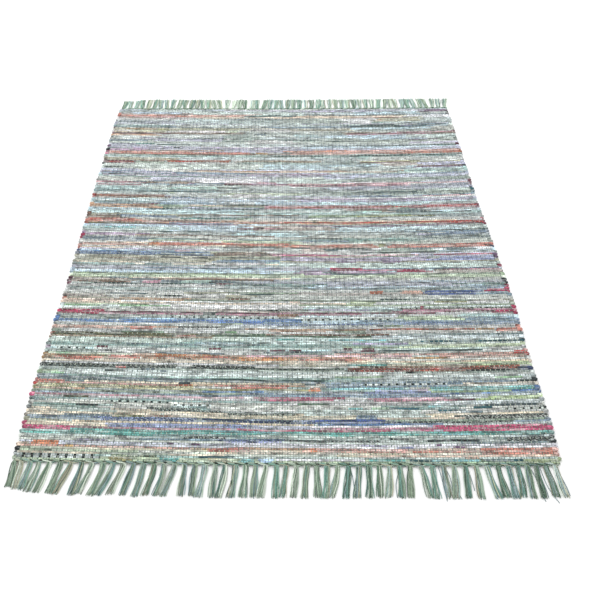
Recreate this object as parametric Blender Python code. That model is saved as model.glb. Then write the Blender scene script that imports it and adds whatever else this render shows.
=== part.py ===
"""A hand-woven cotton rag rug, lying flat: the cloth, and the braided, tasselled edge at each of its ends.

Lengths are in metres. X runs along the weft, Y along the warp, and the rug lies on z = 0.
"""

import math
import random
from itertools import accumulate

import bmesh
import bpy
import numpy as np
from mathutils import Matrix, Vector

# The cloth
WIDTH = 1.200
LENGTH = 1.800
PICKS = 256  # rows of rag weft; the weft turns back at a selvedge after each
CROWN = 0.0058  # height of the cloth over a pick
CROWN_SPREAD = 0.0005  # how much thicker or thinner one rag is than the next
VALLEY = 0.0042  # height of the cloth between two picks
MID_STATIONS = (-0.4, 0.4)  # where a pick bends, in half-widths from the middle

# The picks were beaten in as shallow arcs: how far the middle of one sags towards the near end.
SAGS = (
    # share of the way to the far end, sag
    (0.00, 0.000),
    (0.10, 0.009),
    (0.17, 0.007),
    (0.28, 0.002),
    (0.42, 0.004),
    (0.50, 0.009),
    (0.72, 0.012),
    (0.88, 0.008),
    (0.96, 0.008),
    (1.00, 0.000),
)
SAG_LEAN = 0.3  # how much deeper the sag is to the right than to the left

# The two ends of the cloth are neither straight nor square to it.
FRONT_LONGER = 0.006
FRONT_SKEW = 0.015
FRONT_BOW = 0.007
BACK_SHORTER = 0.002
BACK_SKEW = 0.003
BACK_BOW = 0.006

# The selvedges: how far each one strays outwards from WIDTH / 2, at places along the rug.
SELVEDGES = (
    # along, left, right
    (-0.90, 0.002, 0.003),
    (-0.80, 0.005, 0.008),
    (-0.65, 0.009, 0.008),
    (-0.50, 0.008, 0.007),
    (-0.32, 0.005, 0.012),
    (-0.15, 0.004, 0.010),
    (0.02, 0.005, 0.006),
    (0.22, 0.008, 0.000),
    (0.42, 0.010, -0.002),
    (0.62, 0.009, -0.002),
    (0.80, 0.009, -0.004),
    (0.90, 0.006, -0.005),
)
TURN_NOTCH = 0.0024  # how far the outline dips between two turns of the weft
TURN_SPREAD = 0.0012  # how unevenly the turns stick out
TURN_HEIGHT = 0.0034  # height of the outermost edge of a turn
TURN_ROUND = 0.006  # width over which a selvedge rounds up to the crown

# The braided edges and their tassels
GAP = 0.0003  # between the cloth and each braided edge
TASSELS = 54
BRAID_DEPTH = 0.0115
BRAID_BACK = 0.0052  # height of a braided edge where it meets the cloth
BRAID_RIDGE = 0.0078
BRAID_HUMP = 0.0014  # how far the ridge falls where one warp group dips under the next
BRAID_FRONT = 0.0055
ARCH = 0.0035  # depth of the arch between two tassels
ROOT_WIDTH = 0.008
LAST_WIDER = 1.45  # the tassel at the right corner of the near end holds more yarns
CLUMP_PITCH = 0.0140  # spacing of tassel tips that lie against one another
CORNER_SHORTER = 0.016  # the near left tassels are cut shorter
CORNER_REACH = 0.09  # over this distance from the corner
TIP_SPREAD = 0.002
SWAY = 0.0012
TASSEL_SECTIONS = (
    # share of its length, width, height
    (0.35, 0.0102, 0.0052),
    (0.75, 0.0122, 0.0046),
    (1.00, 0.0114, 0.0034),
)
TASSEL_TOP = 0.74  # width of a tassel's top, as a share of its foot

# Each end of the rug: where its tassels are rooted, and how they lie in groups that touch at their tips.
FRONT_REACH = 0.097
FRONT_ROOTS = (
    # tassel, x
    (1, -0.5965),
    (2, -0.5820),
    (4, -0.5420),
    (10, -0.4005),
    (20, -0.1775),
    (30, 0.0440),
    (40, 0.2700),
    (49, 0.4850),
    (51, 0.5250),
    (54, 0.5865),
)
FRONT_GROUPS = (
    # how many tassels, lean of their tips to the right in millimetres
    (4, -3), (1, -15), (2, -16), (2, -14), (2, -20), (1, -19), (1, -15), (1, -11),
    (1, -12), (2, -15), (1, -3), (2, -6), (2, -8), (1, -8), (1, -5), (2, -8),
    (2, -6), (1, -9), (1, -8), (3, -9), (1, -10), (1, -9), (1, -4), (1, -4),
    (1, -10), (1, -3), (1, -8), (2, 5), (2, -2), (1, -5), (1, -1), (1, 11),
    (1, 5), (2, -1), (1, -3), (1, -1), (1, 5), (1, 5),
)
BACK_REACH = 0.090
BACK_ROOTS = (
    # tassel, x
    (1, -0.5930),
    (54, 0.5880),
)
BACK_GROUPS = (
    # how many tassels, lean of their tips to the right in millimetres
    (2, 1), (2, 0), (1, 2), (2, 0), (1, -6), (1, 2), (1, 6), (1, 3), (1, 5), (1, 0),
    (1, -5), (2, -9), (1, -12), (1, 1), (1, 7), (1, 5), (1, -5), (2, 1), (1, 9),
    (1, 5), (2, 0), (1, 3), (1, 2), (1, -1), (1, 1), (1, 0), (2, 1), (1, 2), (1, 0),
    (1, 1), (1, 1), (1, 0), (1, -2), (1, 0), (1, -1), (1, 6), (2, 5), (1, -7),
    (2, -1), (1, -8), (2, -6), (1, 5), (1, 4), (1, 11),
)

# Finishes: colour, roughness
RAG_COTTON = ((0.46, 0.53, 0.50, 1.0), 0.92)
WARP_YARN = ((0.24, 0.34, 0.27, 1.0), 0.88)


def front_out(across):
    """How far the cloth reaches past LENGTH / 2 at its near end, at a place in half-widths from the middle."""
    return FRONT_LONGER + FRONT_SKEW * across - FRONT_BOW * across**2


def back_out(across):
    """The same at the far end."""
    return -BACK_SHORTER - BACK_SKEW * across + BACK_BOW * across**2


def selvedge(along, side):
    """The x of a selvedge at a place along the rug; side is 0 for the left one and 1 for the right."""
    places, *strays = zip(*SELVEDGES)
    out = WIDTH / 2 + float(np.interp(along, places, strays[side]))
    return out if side else -out


def weft_line(share):
    """The four (x, y) points of a line across the cloth, at a share of the way from its near end to its far end."""
    sag = float(np.interp(share, *zip(*SAGS)))
    line = []
    for across in (-1, *MID_STATIONS, 1):
        near = -LENGTH / 2 - front_out(across)
        far = LENGTH / 2 + back_out(across)
        y = near + share * (far - near) - sag * (1 - across**2) * (1 + SAG_LEAN * across)
        x = across * WIDTH / 2 if abs(across) < 1 else selvedge(y, across > 0)
        line.append(Vector((x, y)))
    return line


def ring(bm, points):
    """New vertices at the points."""
    return [bm.verts.new(point) for point in points]


def join_rings(bm, near, far):
    """Quads between two rings of as many vertices."""
    for k in range(len(near)):
        after = (k + 1) % len(near)
        bm.faces.new((near[k], near[after], far[after], far[k]))


def finish(bm, name, finish_of):
    """A named object with its own material, from a closed mesh."""
    bmesh.ops.recalc_face_normals(bm, faces=bm.faces)
    mesh = bpy.data.meshes.new(name)
    bm.to_mesh(mesh)
    bm.free()
    colour, roughness = finish_of
    material = bpy.data.materials.new(name + "_finish")
    material.use_nodes = True
    shader = material.node_tree.nodes["Principled BSDF"]
    shader.inputs["Base Color"].default_value = colour
    shader.inputs["Roughness"].default_value = roughness
    shader.inputs["Metallic"].default_value = 0.0
    mesh.materials.append(material)
    thing = bpy.data.objects.new(name, mesh)
    bpy.context.scene.collection.objects.link(thing)
    return thing


def cloth_section(row, crown, stick_out):
    """The points around the cloth at one row of it: even rows are the valleys between picks, odd rows their crowns.

    The weft turns twice as often as the outline notches: the left notches lie two rows from the right ones.
    """
    line = weft_line(row / (2 * PICKS))
    height = crown if row % 2 else VALLEY
    sides = []
    for side, (edge, inner) in enumerate(((line[0], line[1]), (line[3], line[2]))):
        notched = row % 4 == 2 * side
        out = -TURN_NOTCH if notched else stick_out[side]
        edge = edge + Vector((out if side else -out, 0))
        rounded = edge.lerp(inner, TURN_ROUND / abs(inner.x - edge.x))
        sides.append((edge.to_3d(), edge.to_3d() + Vector((0, 0, TURN_HEIGHT)), rounded.to_3d()))
    lift = Vector((0, 0, height))
    left, right = sides
    return [
        left[0],
        left[1],
        left[2] + lift,
        line[1].to_3d() + lift,
        line[2].to_3d() + lift,
        right[2] + lift,
        right[1],
        right[0],
    ]


def woven_body():
    """The cloth: a flat sheet with a rib for every pick and a scallop for every turn of the weft."""
    rng = random.Random(11)
    rags = [CROWN + rng.uniform(-1, 1) * CROWN_SPREAD for _ in range(PICKS)]
    turns = [(rng.uniform(-1, 1) * TURN_SPREAD, rng.uniform(-1, 1) * TURN_SPREAD) for _ in range(PICKS // 2 + 1)]
    bm = bmesh.new()
    rings = []
    for row in range(2 * PICKS + 1):
        stick_out = (turns[row // 4][0], turns[(row + 2) // 4][1])
        rings.append(ring(bm, cloth_section(row, rags[min(row // 2, PICKS - 1)], stick_out)))
    # The line under the cloth has no points between the selvedges, except at the two ends.
    ends = []
    for edge in (rings[0], rings[-1]):
        under = [bm.verts.new((edge[k].co.x, edge[k].co.y, 0)) for k in (4, 3)]
        ends.append(under)
        left, right = edge[:3], edge[5:]
        bm.faces.new((*left, edge[3], under[1]))
        bm.faces.new((under[1], edge[3], edge[4], under[0]))
        bm.faces.new((under[0], edge[4], *right))
    for k, (near, far) in enumerate(zip(rings, rings[1:])):
        for side in range(7):
            bm.faces.new((near[side], near[side + 1], far[side + 1], far[side]))
        below_near = ends[0] if k == 0 else []
        below_far = ends[1][::-1] if k == len(rings) - 2 else []
        bm.faces.new((near[7], *below_near, near[0], far[0], *below_far, far[7]))
    return finish(bm, "woven_body", RAG_COTTON)


def tip_places(roots, groups):
    """The x of each tassel's tip: the tassels of a group lean together and lie against one another."""
    counts = [count for count, _ in groups]
    starts = [0, *accumulate(counts)]
    tips = []
    for (count, lean), start in zip(groups, starts):
        middle = sum(roots[start : start + count]) / count + lean / 1000
        tips += [middle + (k - (count - 1) / 2) * CLUMP_PITCH for k in range(count)]
    return tips


def fringed_edge(name, line, away, reach, root_table, groups, seed):
    """A braided edge along one end of the cloth, with its tassels.

    line is the cloth's own end, away is the Y direction out of it, and reach is how far the tassels' tips lie from it.
    """
    rng = random.Random(seed)
    cloth_x = [point.x for point in line]
    cloth_y = [point.y for point in line]
    numbers, places = zip(*root_table)
    roots = [float(np.interp(k + 1, numbers, places)) for k in range(TASSELS)]
    tips = tip_places(roots, groups)
    bm = bmesh.new()

    def at(x, out, height):
        """A point of the edge: out is its distance from the cloth's end."""
        return Vector((x, float(np.interp(x, cloth_x, cloth_y)) + away * out, height))

    def braid_section(x, ridge, front):
        """The points around the braid at one place along it."""
        return ring(
            bm,
            (
                at(x, GAP, 0),
                at(x, GAP, BRAID_BACK),
                at(x, GAP + BRAID_DEPTH * 0.45, ridge),
                at(x, GAP + front, BRAID_FRONT),
                at(x, GAP + front, 0),
            ),
        )

    sections, starts = [], []
    for k, root in enumerate(roots):
        half = ROOT_WIDTH / 2
        starts.append(len(sections))
        sections.append(braid_section(root - half, BRAID_RIDGE, BRAID_DEPTH))
        sections.append(braid_section(root + half, BRAID_RIDGE - BRAID_HUMP / 2, BRAID_DEPTH))
        if k < TASSELS - 1:
            middle = (root + roots[k + 1]) / 2
            sections.append(braid_section(middle, BRAID_RIDGE - BRAID_HUMP, BRAID_DEPTH - ARCH))
    bm.faces.new(sections[0])
    bm.faces.new(sections[-1])
    for k, (left, right) in enumerate(zip(sections, sections[1:])):
        for side in range(5):
            after = (side + 1) % 5
            if k in starts and side == 3:
                continue  # a tassel grows from here
            bm.faces.new((left[side], left[after], right[after], right[side]))

    for k, (root, tip, start) in enumerate(zip(roots, tips, starts)):
        left, right = sections[start], sections[start + 1]
        foot = [left[4], right[4], right[3], left[3]]
        wider = LAST_WIDER if away < 0 and k == TASSELS - 1 else 1.0
        corner = max(0.0, 1 - (root - roots[0]) / CORNER_REACH)
        length = reach - CORNER_SHORTER * corner + rng.uniform(-1, 1) * TIP_SPREAD
        sway = rng.uniform(-1, 1) * SWAY
        for share, width, height in TASSEL_SECTIONS:
            x = root + (tip - root) * share**1.2 + sway * math.sin(math.pi * share)
            out = GAP + BRAID_DEPTH + (length - BRAID_DEPTH) * share
            y = at(root, out, 0).y
            half = wider * width / 2
            top = half * TASSEL_TOP
            section = ring(bm, ((x - half, y, 0), (x + half, y, 0), (x + top, y, height), (x - top, y, height)))
            join_rings(bm, foot, section)
            foot = section
        bm.faces.new(foot)
    return finish(bm, name, WARP_YARN)


def centre_on_origin(things):
    """Shifts the meshes so that the middle of the whole rug's underside is the origin."""
    corners = [vertex.co for thing in things for vertex in thing.data.vertices]
    middle = [(min(c[axis] for c in corners) + max(c[axis] for c in corners)) / 2 for axis in range(2)]
    shift = Matrix.Translation((-middle[0], -middle[1], 0))
    for thing in things:
        thing.data.transform(shift)


def main():
    """Clears the scene and builds the rug."""
    for old in list(bpy.data.objects):
        bpy.data.objects.remove(old)
    rug = [
        woven_body(),
        fringed_edge("fringe_front", weft_line(0), -1, FRONT_REACH, FRONT_ROOTS, FRONT_GROUPS, 21),
        fringed_edge("fringe_back", weft_line(1), 1, BACK_REACH, BACK_ROOTS, BACK_GROUPS, 22),
    ]
    centre_on_origin(rug)


main()
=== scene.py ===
"""A hand-woven rag rug: cotton rags over a striped warp, turned at the selvedges, braided at both ends.

Lengths are in metres unless a table's columns say otherwise. X runs along the weft and Y along the warp.
"""

import logging
import math
import random
from dataclasses import dataclass, field
from enum import Enum
from itertools import accumulate

import bpy
import numpy as np
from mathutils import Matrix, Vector


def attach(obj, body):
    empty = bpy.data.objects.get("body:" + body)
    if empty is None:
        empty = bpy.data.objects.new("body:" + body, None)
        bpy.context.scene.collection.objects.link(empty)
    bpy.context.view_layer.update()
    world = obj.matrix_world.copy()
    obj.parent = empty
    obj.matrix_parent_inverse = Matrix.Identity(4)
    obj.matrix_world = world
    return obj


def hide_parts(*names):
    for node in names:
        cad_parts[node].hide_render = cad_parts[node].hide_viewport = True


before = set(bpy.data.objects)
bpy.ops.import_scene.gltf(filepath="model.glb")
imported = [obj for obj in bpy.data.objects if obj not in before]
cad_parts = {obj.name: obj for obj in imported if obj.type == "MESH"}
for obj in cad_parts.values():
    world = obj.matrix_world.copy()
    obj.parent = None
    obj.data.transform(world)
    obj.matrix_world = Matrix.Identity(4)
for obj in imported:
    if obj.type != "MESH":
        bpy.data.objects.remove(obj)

LOG = logging.getLogger("rag_rug")
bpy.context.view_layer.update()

Points = np.ndarray
Table = tuple[tuple[float, ...], ...]


# ------------------------------------------------------------------------------------------------------------
# The plan of the cloth
# ------------------------------------------------------------------------------------------------------------


@dataclass(frozen=True)
class Plan:
    """Where each weft pick and each warp end lies on the floor."""

    width: float = 1.200
    length: float = 1.800
    picks: int = 256
    half_ends: int = 389  # steps from one warp end to the middle of the gap beside it
    shift: tuple[float, float] = (-0.0010, 0.0077)  # the cloth's middle, from that of the whole rug
    front: tuple[float, float, float] = (0.006, 0.015, -0.007)  # how far the near end juts, skews and bows
    back: tuple[float, float, float] = (-0.002, -0.003, 0.006)
    sag_lean: float = 0.3  # how much more a pick sags on the right than on the left
    waver: float = 0.0013  # how far a pick wavers from its line
    calm: int = 6  # picks at each end that waver less and less
    sags: Table = (
        # share of the way to the far end, how far the middle of a pick sags towards the near end
        (0.00, 0.000), (0.10, 0.009), (0.17, 0.007), (0.28, 0.002), (0.42, 0.004),
        (0.50, 0.009), (0.72, 0.012), (0.88, 0.008), (0.96, 0.008), (1.00, 0.000),
    )
    strays: Table = (
        # along, how far the left selvedge strays outwards, and the right one
        (-0.90, 0.002, 0.003), (-0.80, 0.005, 0.008), (-0.65, 0.009, 0.008), (-0.50, 0.008, 0.007),
        (-0.32, 0.005, 0.012), (-0.15, 0.004, 0.010), (0.02, 0.005, 0.006), (0.22, 0.008, 0.000),
        (0.42, 0.010, -0.002), (0.62, 0.009, -0.002), (0.80, 0.009, -0.004), (0.90, 0.006, -0.005),
    )

    @property
    def half(self) -> float:
        """Half the width of the cloth."""
        return self.width / 2

    def wander(self, across: Points, pick: Points) -> Points:
        """How far a pick wavers along the warp, as hand-beaten picks do.

        Args:
            across: places in half-widths from the middle.
            pick: places in picks from the near end.

        Returns:
            The shift along Y of each place.
        """
        waves = np.sin(2 * np.pi * (1.3 * across + pick / 27))
        waves += 0.6 * np.sin(2 * np.pi * (2.9 * across - pick / 12.7) + 1.3)
        waves += 0.4 * np.sin(2 * np.pi * (4.7 * across + pick / 7.9) + 0.4)
        ends = np.clip(np.minimum(pick, self.picks - pick) / self.calm, 0, 1)
        return self.waver * waves * ends * (1 - across**2)

    def place(self, across: Points, pick: Points) -> tuple[Points, Points]:
        """The x and y of places on the cloth.

        Args:
            across: places in half-widths from the middle.
            pick: places in picks from the near end.

        Returns:
            Two arrays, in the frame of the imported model.
        """
        share = pick / self.picks
        near = -self.length / 2 - (self.front[0] + self.front[1] * across + self.front[2] * across**2)
        far = self.length / 2 + (self.back[0] + self.back[1] * across + self.back[2] * across**2)
        sag = np.interp(share, *zip(*self.sags)) * (1 - across**2) * (1 + self.sag_lean * across)
        y = near + share * (far - near) - sag + self.wander(across, pick)
        along, left, right = zip(*self.strays)
        stray = np.where(across < 0, -np.interp(y, along, left), np.interp(y, along, right))
        x = across * self.half + stray * across**4
        return x + self.shift[0], y + self.shift[1]

    def end_line(self, x: float, pick: int) -> float:
        """The y of the cloth's near or far end at an x."""
        across = np.array([(x - self.shift[0]) / self.half])
        return float(self.place(across, np.array([float(pick)]))[1][0])


# ------------------------------------------------------------------------------------------------------------
# Rags: what each cloth looks like, and the chart of where it was woven in
# ------------------------------------------------------------------------------------------------------------


class Pattern(Enum):
    """How a rag's cloth is printed."""

    PLAIN = 0.0
    SPECKLED = 0.5
    DOTTED = 1.0


@dataclass(frozen=True)
class Stuff:
    """A cloth that rags were torn from: its colour, and the colour and cover of its print."""

    ground: str
    figure: str = "000000"
    cover: float = 0.0
    pattern: Pattern = Pattern.PLAIN


class Rag(Enum):
    """The cloths of this rug, by a weaver's names for them."""

    PEARL = Stuff("c9cecb")
    MINT = Stuff("aec8c5")
    PALE_MINT = Stuff("cedcda")
    ICE = Stuff("c8dfe8")
    WHITE = Stuff("e8e9ec")
    ASH = Stuff("b7aeaa")
    CREAM = Stuff("dbd1bd")
    IVORY = Stuff("c8d5bd")
    BEIGE = Stuff("d2cab9")
    KHAKI = Stuff("abab98")
    SAGE = Stuff("99ae92")
    LICHEN = Stuff("93a394")
    MIST = Stuff("a4b1ae")
    SLATE_MINT = Stuff("8aa4a3")
    SLATE = Stuff("738389")
    DARK_SLATE = Stuff("435658")
    STEEL = Stuff("8296a6")
    DOVE = Stuff("b1b4c4")
    LILAC_WHITE = Stuff("c8cbde")
    LILAC = Stuff("b3adc8")
    PERIWINKLE = Stuff("9aa5ca")
    MAUVE = Stuff("ab96b0")
    PURPLE = Stuff("78607c")
    CORNFLOWER = Stuff("6585b4")
    DENIM = Stuff("5f7fa8")
    NAVY = Stuff("3c4a68")
    ROYAL = Stuff("4c6196")
    SKY = Stuff("b2d2e6")
    AQUA = Stuff("8fc5c8")
    TURQUOISE = Stuff("6ca9a4")
    TEAL = Stuff("588e87")
    DARK_TEAL = Stuff("305a62")
    LIME = Stuff("b5c79c")
    LEAF = Stuff("94bb95")
    OLIVE = Stuff("97986e")
    GOLD = Stuff("b6956a")
    TAN = Stuff("bc9c86")
    ORANGE = Stuff("c98465")
    CORAL = Stuff("c6867a")
    SALMON = Stuff("cba59b")
    PEACH = Stuff("e3d0be")
    PINK = Stuff("e0bec4")
    ROSE = Stuff("b26c82")
    DUSTY_ROSE = Stuff("b38a96")
    CRIMSON = Stuff("a33d5b")
    MAGENTA = Stuff("c46082")
    RED = Stuff("a84844")
    RUST = Stuff("9f6352")
    BROWN = Stuff("7c6256")
    TAUPE = Stuff("8a7b70")
    MAROON = Stuff("6c4250")
    CHARCOAL = Stuff("2f3739")
    MOSS = Stuff("62624a")
    PINE = Stuff("5c745f")
    PEPPER = Stuff("bcc5c0", "171d1f", 0.70, Pattern.SPECKLED)
    DOTS = Stuff("d2e0dc", "141f20", 1.0, Pattern.DOTTED)
    NAVY_PRINT = Stuff("8b9db8", "2a3f6c", 0.54, Pattern.SPECKLED)
    BLUE_PRINT = Stuff("8698b2", "466090", 0.50, Pattern.SPECKLED)
    ROSE_PRINT = Stuff("c9a9b4", "a23a5e", 0.42, Pattern.SPECKLED)
    BROWN_PRINT = Stuff("b9ab9a", "584338", 0.45, Pattern.SPECKLED)
    GREEN_PRINT = Stuff("9fae95", "38483c", 0.50, Pattern.SPECKLED)
    OLIVE_PRINT = Stuff("c4c6a4", "7d8358", 0.42, Pattern.SPECKLED)
    AMBER_PRINT = Stuff("d3a274", "a45c42", 0.50, Pattern.SPECKLED)
    NIGHT_PRINT = Stuff("9aa59e", "1c2424", 0.74, Pattern.SPECKLED)
    WINE_PRINT = Stuff("a8675a", "3a2426", 0.50, Pattern.SPECKLED)


# The ground: from which pick on, and the cloths that the weaver took turns with.
R = Rag
GROUND: tuple[tuple[float, tuple[Rag, ...]], ...] = (
    (0, (R.SAGE, R.IVORY)), (1, (R.PALE_MINT, R.IVORY, R.MINT)), (3, (R.IVORY, R.LICHEN, R.PEARL)),
    (4, (R.BEIGE, R.LICHEN, R.IVORY)), (5, (R.CREAM,)), (6, (R.SALMON, R.PEACH)),
    (7, (R.LILAC_WHITE, R.WHITE)), (9, (R.LILAC_WHITE, R.PEARL, R.STEEL)),
    (11, (R.MIST, R.PALE_MINT, R.SLATE_MINT)), (12, (R.PALE_MINT, R.MIST)), (13, (R.TURQUOISE, R.MINT)),
    (14, (R.TURQUOISE, R.TEAL)), (15, (R.MIST, R.DOVE)), (16, (R.DOVE, R.PERIWINKLE)),
    (18, (R.CREAM, R.PALE_MINT)), (19, (R.STEEL, R.MIST)), (21, (R.CREAM, R.BEIGE, R.PEARL)),
    (24, (R.IVORY, R.PEARL, R.PALE_MINT)), (26, (R.PALE_MINT, R.MIST, R.PEARL)),
    (28, (R.MIST, R.PEARL, R.SLATE_MINT)), (30, (R.PEARL, R.PINK)), (32, (R.SLATE_MINT, R.STEEL, R.LICHEN)),
    (34, (R.STEEL, R.MIST, R.SAGE)), (36, (R.PEARL, R.SALMON)), (38, (R.CREAM, R.MIST)),
    (39, (R.SLATE_MINT, R.SLATE, R.STEEL)), (42, (R.PALE_MINT, R.PEARL, R.SAGE)),
    (44, (R.MIST, R.DOVE, R.PEARL)), (46, (R.MIST, R.PEARL)), (48, (R.IVORY, R.CREAM)),
    (50, (R.CREAM, R.IVORY, R.PEARL)), (52, (R.PEACH, R.IVORY)), (54, (R.PEARL, R.MIST)),
    (56, (R.ICE, R.PEARL, R.PALE_MINT)), (58, (R.SLATE_MINT, R.MIST)), (61, (R.MINT, R.ICE, R.PALE_MINT)),
    (64, (R.MINT, R.LICHEN)), (66, (R.PEARL, R.PALE_MINT, R.LICHEN)), (68, (R.PEARL, R.TAN)),
    (70, (R.IVORY, R.PEARL, R.SAGE)), (72, (R.STEEL, R.ICE)), (74, (R.PALE_MINT, R.MINT, R.ICE)),
    (77, (R.PALE_MINT, R.LICHEN)), (80, (R.PALE_MINT, R.PEARL, R.MINT)), (83, (R.PEARL, R.IVORY, R.SAGE)),
    (86, (R.LICHEN, R.PEARL, R.KHAKI)), (90, (R.MIST, R.PEARL, R.LICHEN)),
    (94, (R.PEARL, R.MIST, R.SLATE_MINT)), (98, (R.KHAKI, R.MIST, R.DOVE)), (101, (R.BEIGE, R.KHAKI, R.SAGE)),
    (103, (R.LICHEN, R.SAGE, R.PEARL)), (105, (R.ICE, R.PALE_MINT, R.MIST)), (108, (R.DOVE, R.MIST, R.STEEL)),
    (110, (R.BEIGE, R.MINT, R.MIST)), (113, (R.KHAKI, R.LICHEN, R.STEEL)), (118, (R.MIST, R.PEARL)),
    (121, (R.WHITE, R.ICE, R.LILAC_WHITE)), (124, (R.PEARL, R.BEIGE)), (126, (R.SALMON, R.PEARL)),
    (128, (R.MIST, R.PEARL, R.SLATE_MINT)), (131, (R.MIST, R.DOVE, R.SLATE_MINT)),
    (135, (R.ICE, R.PALE_MINT, R.MIST)), (141, (R.DOVE, R.MIST)), (143, (R.TAN, R.PEARL)),
    (146, (R.ICE, R.PEARL, R.MIST)), (149, (R.LICHEN, R.TAUPE, R.KHAKI)), (151, (R.ICE, R.PALE_MINT, R.MINT)),
    (154, (R.MIST, R.SLATE_MINT)), (156, (R.MIST, R.LICHEN)), (159, (R.STEEL, R.MIST)),
    (161, (R.ICE, R.PALE_MINT)), (164, (R.DOVE, R.MIST)), (167, (R.WHITE, R.PALE_MINT)),
    (169, (R.PALE_MINT, R.MIST)), (171, (R.MIST, R.SLATE_MINT, R.PEARL)), (176, (R.PEARL, R.MINT)),
    (178, (R.PEARL, R.PINK)), (180, (R.PALE_MINT, R.PEARL, R.MIST)), (184, (R.MIST, R.STEEL, R.PALE_MINT)),
    (186, (R.STEEL, R.DOVE)), (189, (R.PEARL, R.PEACH, R.LILAC_WHITE)), (192, (R.PALE_MINT, R.PEARL, R.ICE)),
    (197, (R.PEARL, R.KHAKI, R.MIST)), (200, (R.IVORY, R.PEARL)), (202, (R.MINT, R.MIST, R.SLATE_MINT)),
    (206, (R.MIST, R.TAUPE)), (208, (R.PEARL, R.TAN)), (211, (R.LILAC_WHITE, R.DOVE, R.PEARL)),
    (215, (R.PEARL, R.MIST, R.IVORY)), (219, (R.MIST, R.PEARL, R.SLATE_MINT)),
    (224, (R.PEARL, R.PALE_MINT, R.MIST)), (229, (R.PEARL, R.IVORY, R.WHITE)),
    (232, (R.KHAKI, R.PEARL, R.IVORY)), (235, (R.MIST, R.LICHEN, R.STEEL)), (237, (R.PALE_MINT, R.PEARL)),
    (239, (R.MIST, R.DOVE, R.ICE)), (243, (R.MIST, R.PEARL, R.PALE_MINT)), (246, (R.PEARL, R.BEIGE)),
    (249, (R.MIST, R.PEARL)), (251, (R.ICE, R.PALE_MINT, R.MIST)), (253, (R.DOVE, R.MIST, R.PEARL)),
)

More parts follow.
